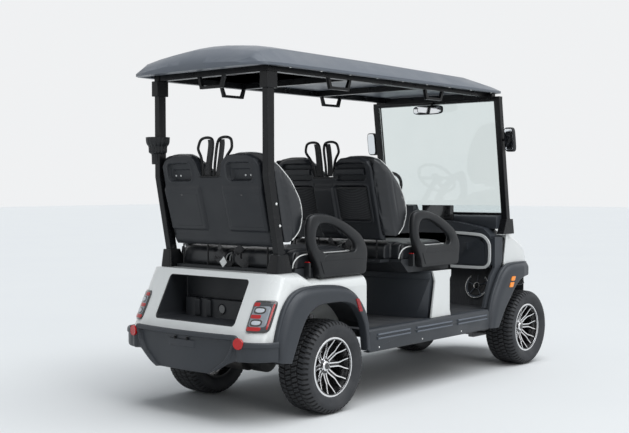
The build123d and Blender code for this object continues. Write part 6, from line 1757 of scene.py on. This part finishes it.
class VEHICLE_OT_mouldings(bpy.types.Operator):
    """Make the dash line, the windscreen's foot, the rocker ribs and the pillar brackets"""
    bl_idname = "vehicle.mouldings"
    bl_label = "Small mouldings"

    def execute(self, context):
        make_mouldings()
        return {"FINISHED"}


class VEHICLE_OT_flares(bpy.types.Operator):
    """Mould the fender flares over the four wheels"""
    bl_idname = "vehicle.flares"
    bl_label = "Flares"

    def execute(self, context):
        make_flares()
        return {"FINISHED"}


class VEHICLE_OT_bumper(bpy.types.Operator):
    """Mould the rear bumper with its ledge, ribs and bolts"""
    bl_idname = "vehicle.bumper"
    bl_label = "Rear bumper"

    def execute(self, context):
        make_bumper()
        return {"FINISHED"}


class VEHICLE_OT_lamps(bpy.types.Operator):
    """Make the tail lamps, reflectors, markers and headlamps"""
    bl_idname = "vehicle.lamps"
    bl_label = "Lamps"

    def execute(self, context):
        make_lamps()
        return {"FINISHED"}


class VEHICLE_OT_trays(bpy.types.Operator):
    """Make the trays, posts and buckles under the seats"""
    bl_idname = "vehicle.trays"
    bl_label = "Seat trays"

    def execute(self, context):
        make_trays()
        return {"FINISHED"}


class VEHICLE_OT_cargo(bpy.types.Operator):
    """Mould the ribs and the recess in the cargo well"""
    bl_idname = "vehicle.cargo"
    bl_label = "Cargo well"

    def execute(self, context):
        make_cargo()
        return {"FINISHED"}


class VEHICLE_OT_cup(bpy.types.Operator):
    """Turn the ribbed cup round the left rear pillar"""
    bl_idname = "vehicle.cup"
    bl_label = "Ribbed cup"

    def execute(self, context):
        make_cup()
        return {"FINISHED"}


class VEHICLE_OT_fittings(bpy.types.Operator):
    """Make the mirrors, speakers and screws"""
    bl_idname = "vehicle.fittings"
    bl_label = "Fittings"

    def execute(self, context):
        make_fittings()
        return {"FINISHED"}


class VEHICLE_OT_studio(bpy.types.Operator):
    """Set the floor, the lamps and the camera"""
    bl_idname = "vehicle.studio"
    bl_label = "Studio"

    def execute(self, context):
        make_stage(context.scene.vehicle_studio)
        return {"FINISHED"}


STEPS = (VEHICLE_OT_finishes, VEHICLE_OT_studio, VEHICLE_OT_tyres, VEHICLE_OT_rims, VEHICLE_OT_seats,
         VEHICLE_OT_shells, VEHICLE_OT_armrests, VEHICLE_OT_hoops, VEHICLE_OT_panels, VEHICLE_OT_mouldings,
         VEHICLE_OT_flares, VEHICLE_OT_bumper, VEHICLE_OT_lamps,
         VEHICLE_OT_trays, VEHICLE_OT_cargo, VEHICLE_OT_cup, VEHICLE_OT_fittings)


class VEHICLE_PT_build(bpy.types.Panel):
    """The steps of the build and their settings"""
    bl_idname = "VEHICLE_PT_build"
    bl_label = "Electric utility vehicle"
    bl_space_type = "VIEW_3D"
    bl_region_type = "UI"
    bl_category = "Vehicle"

    def draw(self, context):
        for group in ("vehicle_look", "vehicle_sizes", "vehicle_studio"):
            settings = getattr(context.scene, group)
            box = self.layout.box()
            for key in settings.__annotations__:
                box.prop(settings, key)
        for operator in STEPS:
            self.layout.operator(operator.bl_idname)


CLASSES = (VehicleLook, VehicleSizes, StudioSettings) + STEPS + (VEHICLE_PT_build,)


def register():
    for each in CLASSES:
        bpy.utils.register_class(each)
    bpy.types.Scene.vehicle_look = PointerProperty(type=VehicleLook)
    bpy.types.Scene.vehicle_sizes = PointerProperty(type=VehicleSizes)
    bpy.types.Scene.vehicle_studio = PointerProperty(type=StudioSettings)


def unregister():
    for name in ("vehicle_look", "vehicle_sizes", "vehicle_studio"):
        delattr(bpy.types.Scene, name)
    for each in reversed(CLASSES):
        bpy.utils.unregister_class(each)


def main():
    register()
    for operator in STEPS:
        group, name = operator.bl_idname.split(".")
        getattr(getattr(bpy.ops, group), name)()


if __name__ == "__main__":
    main()
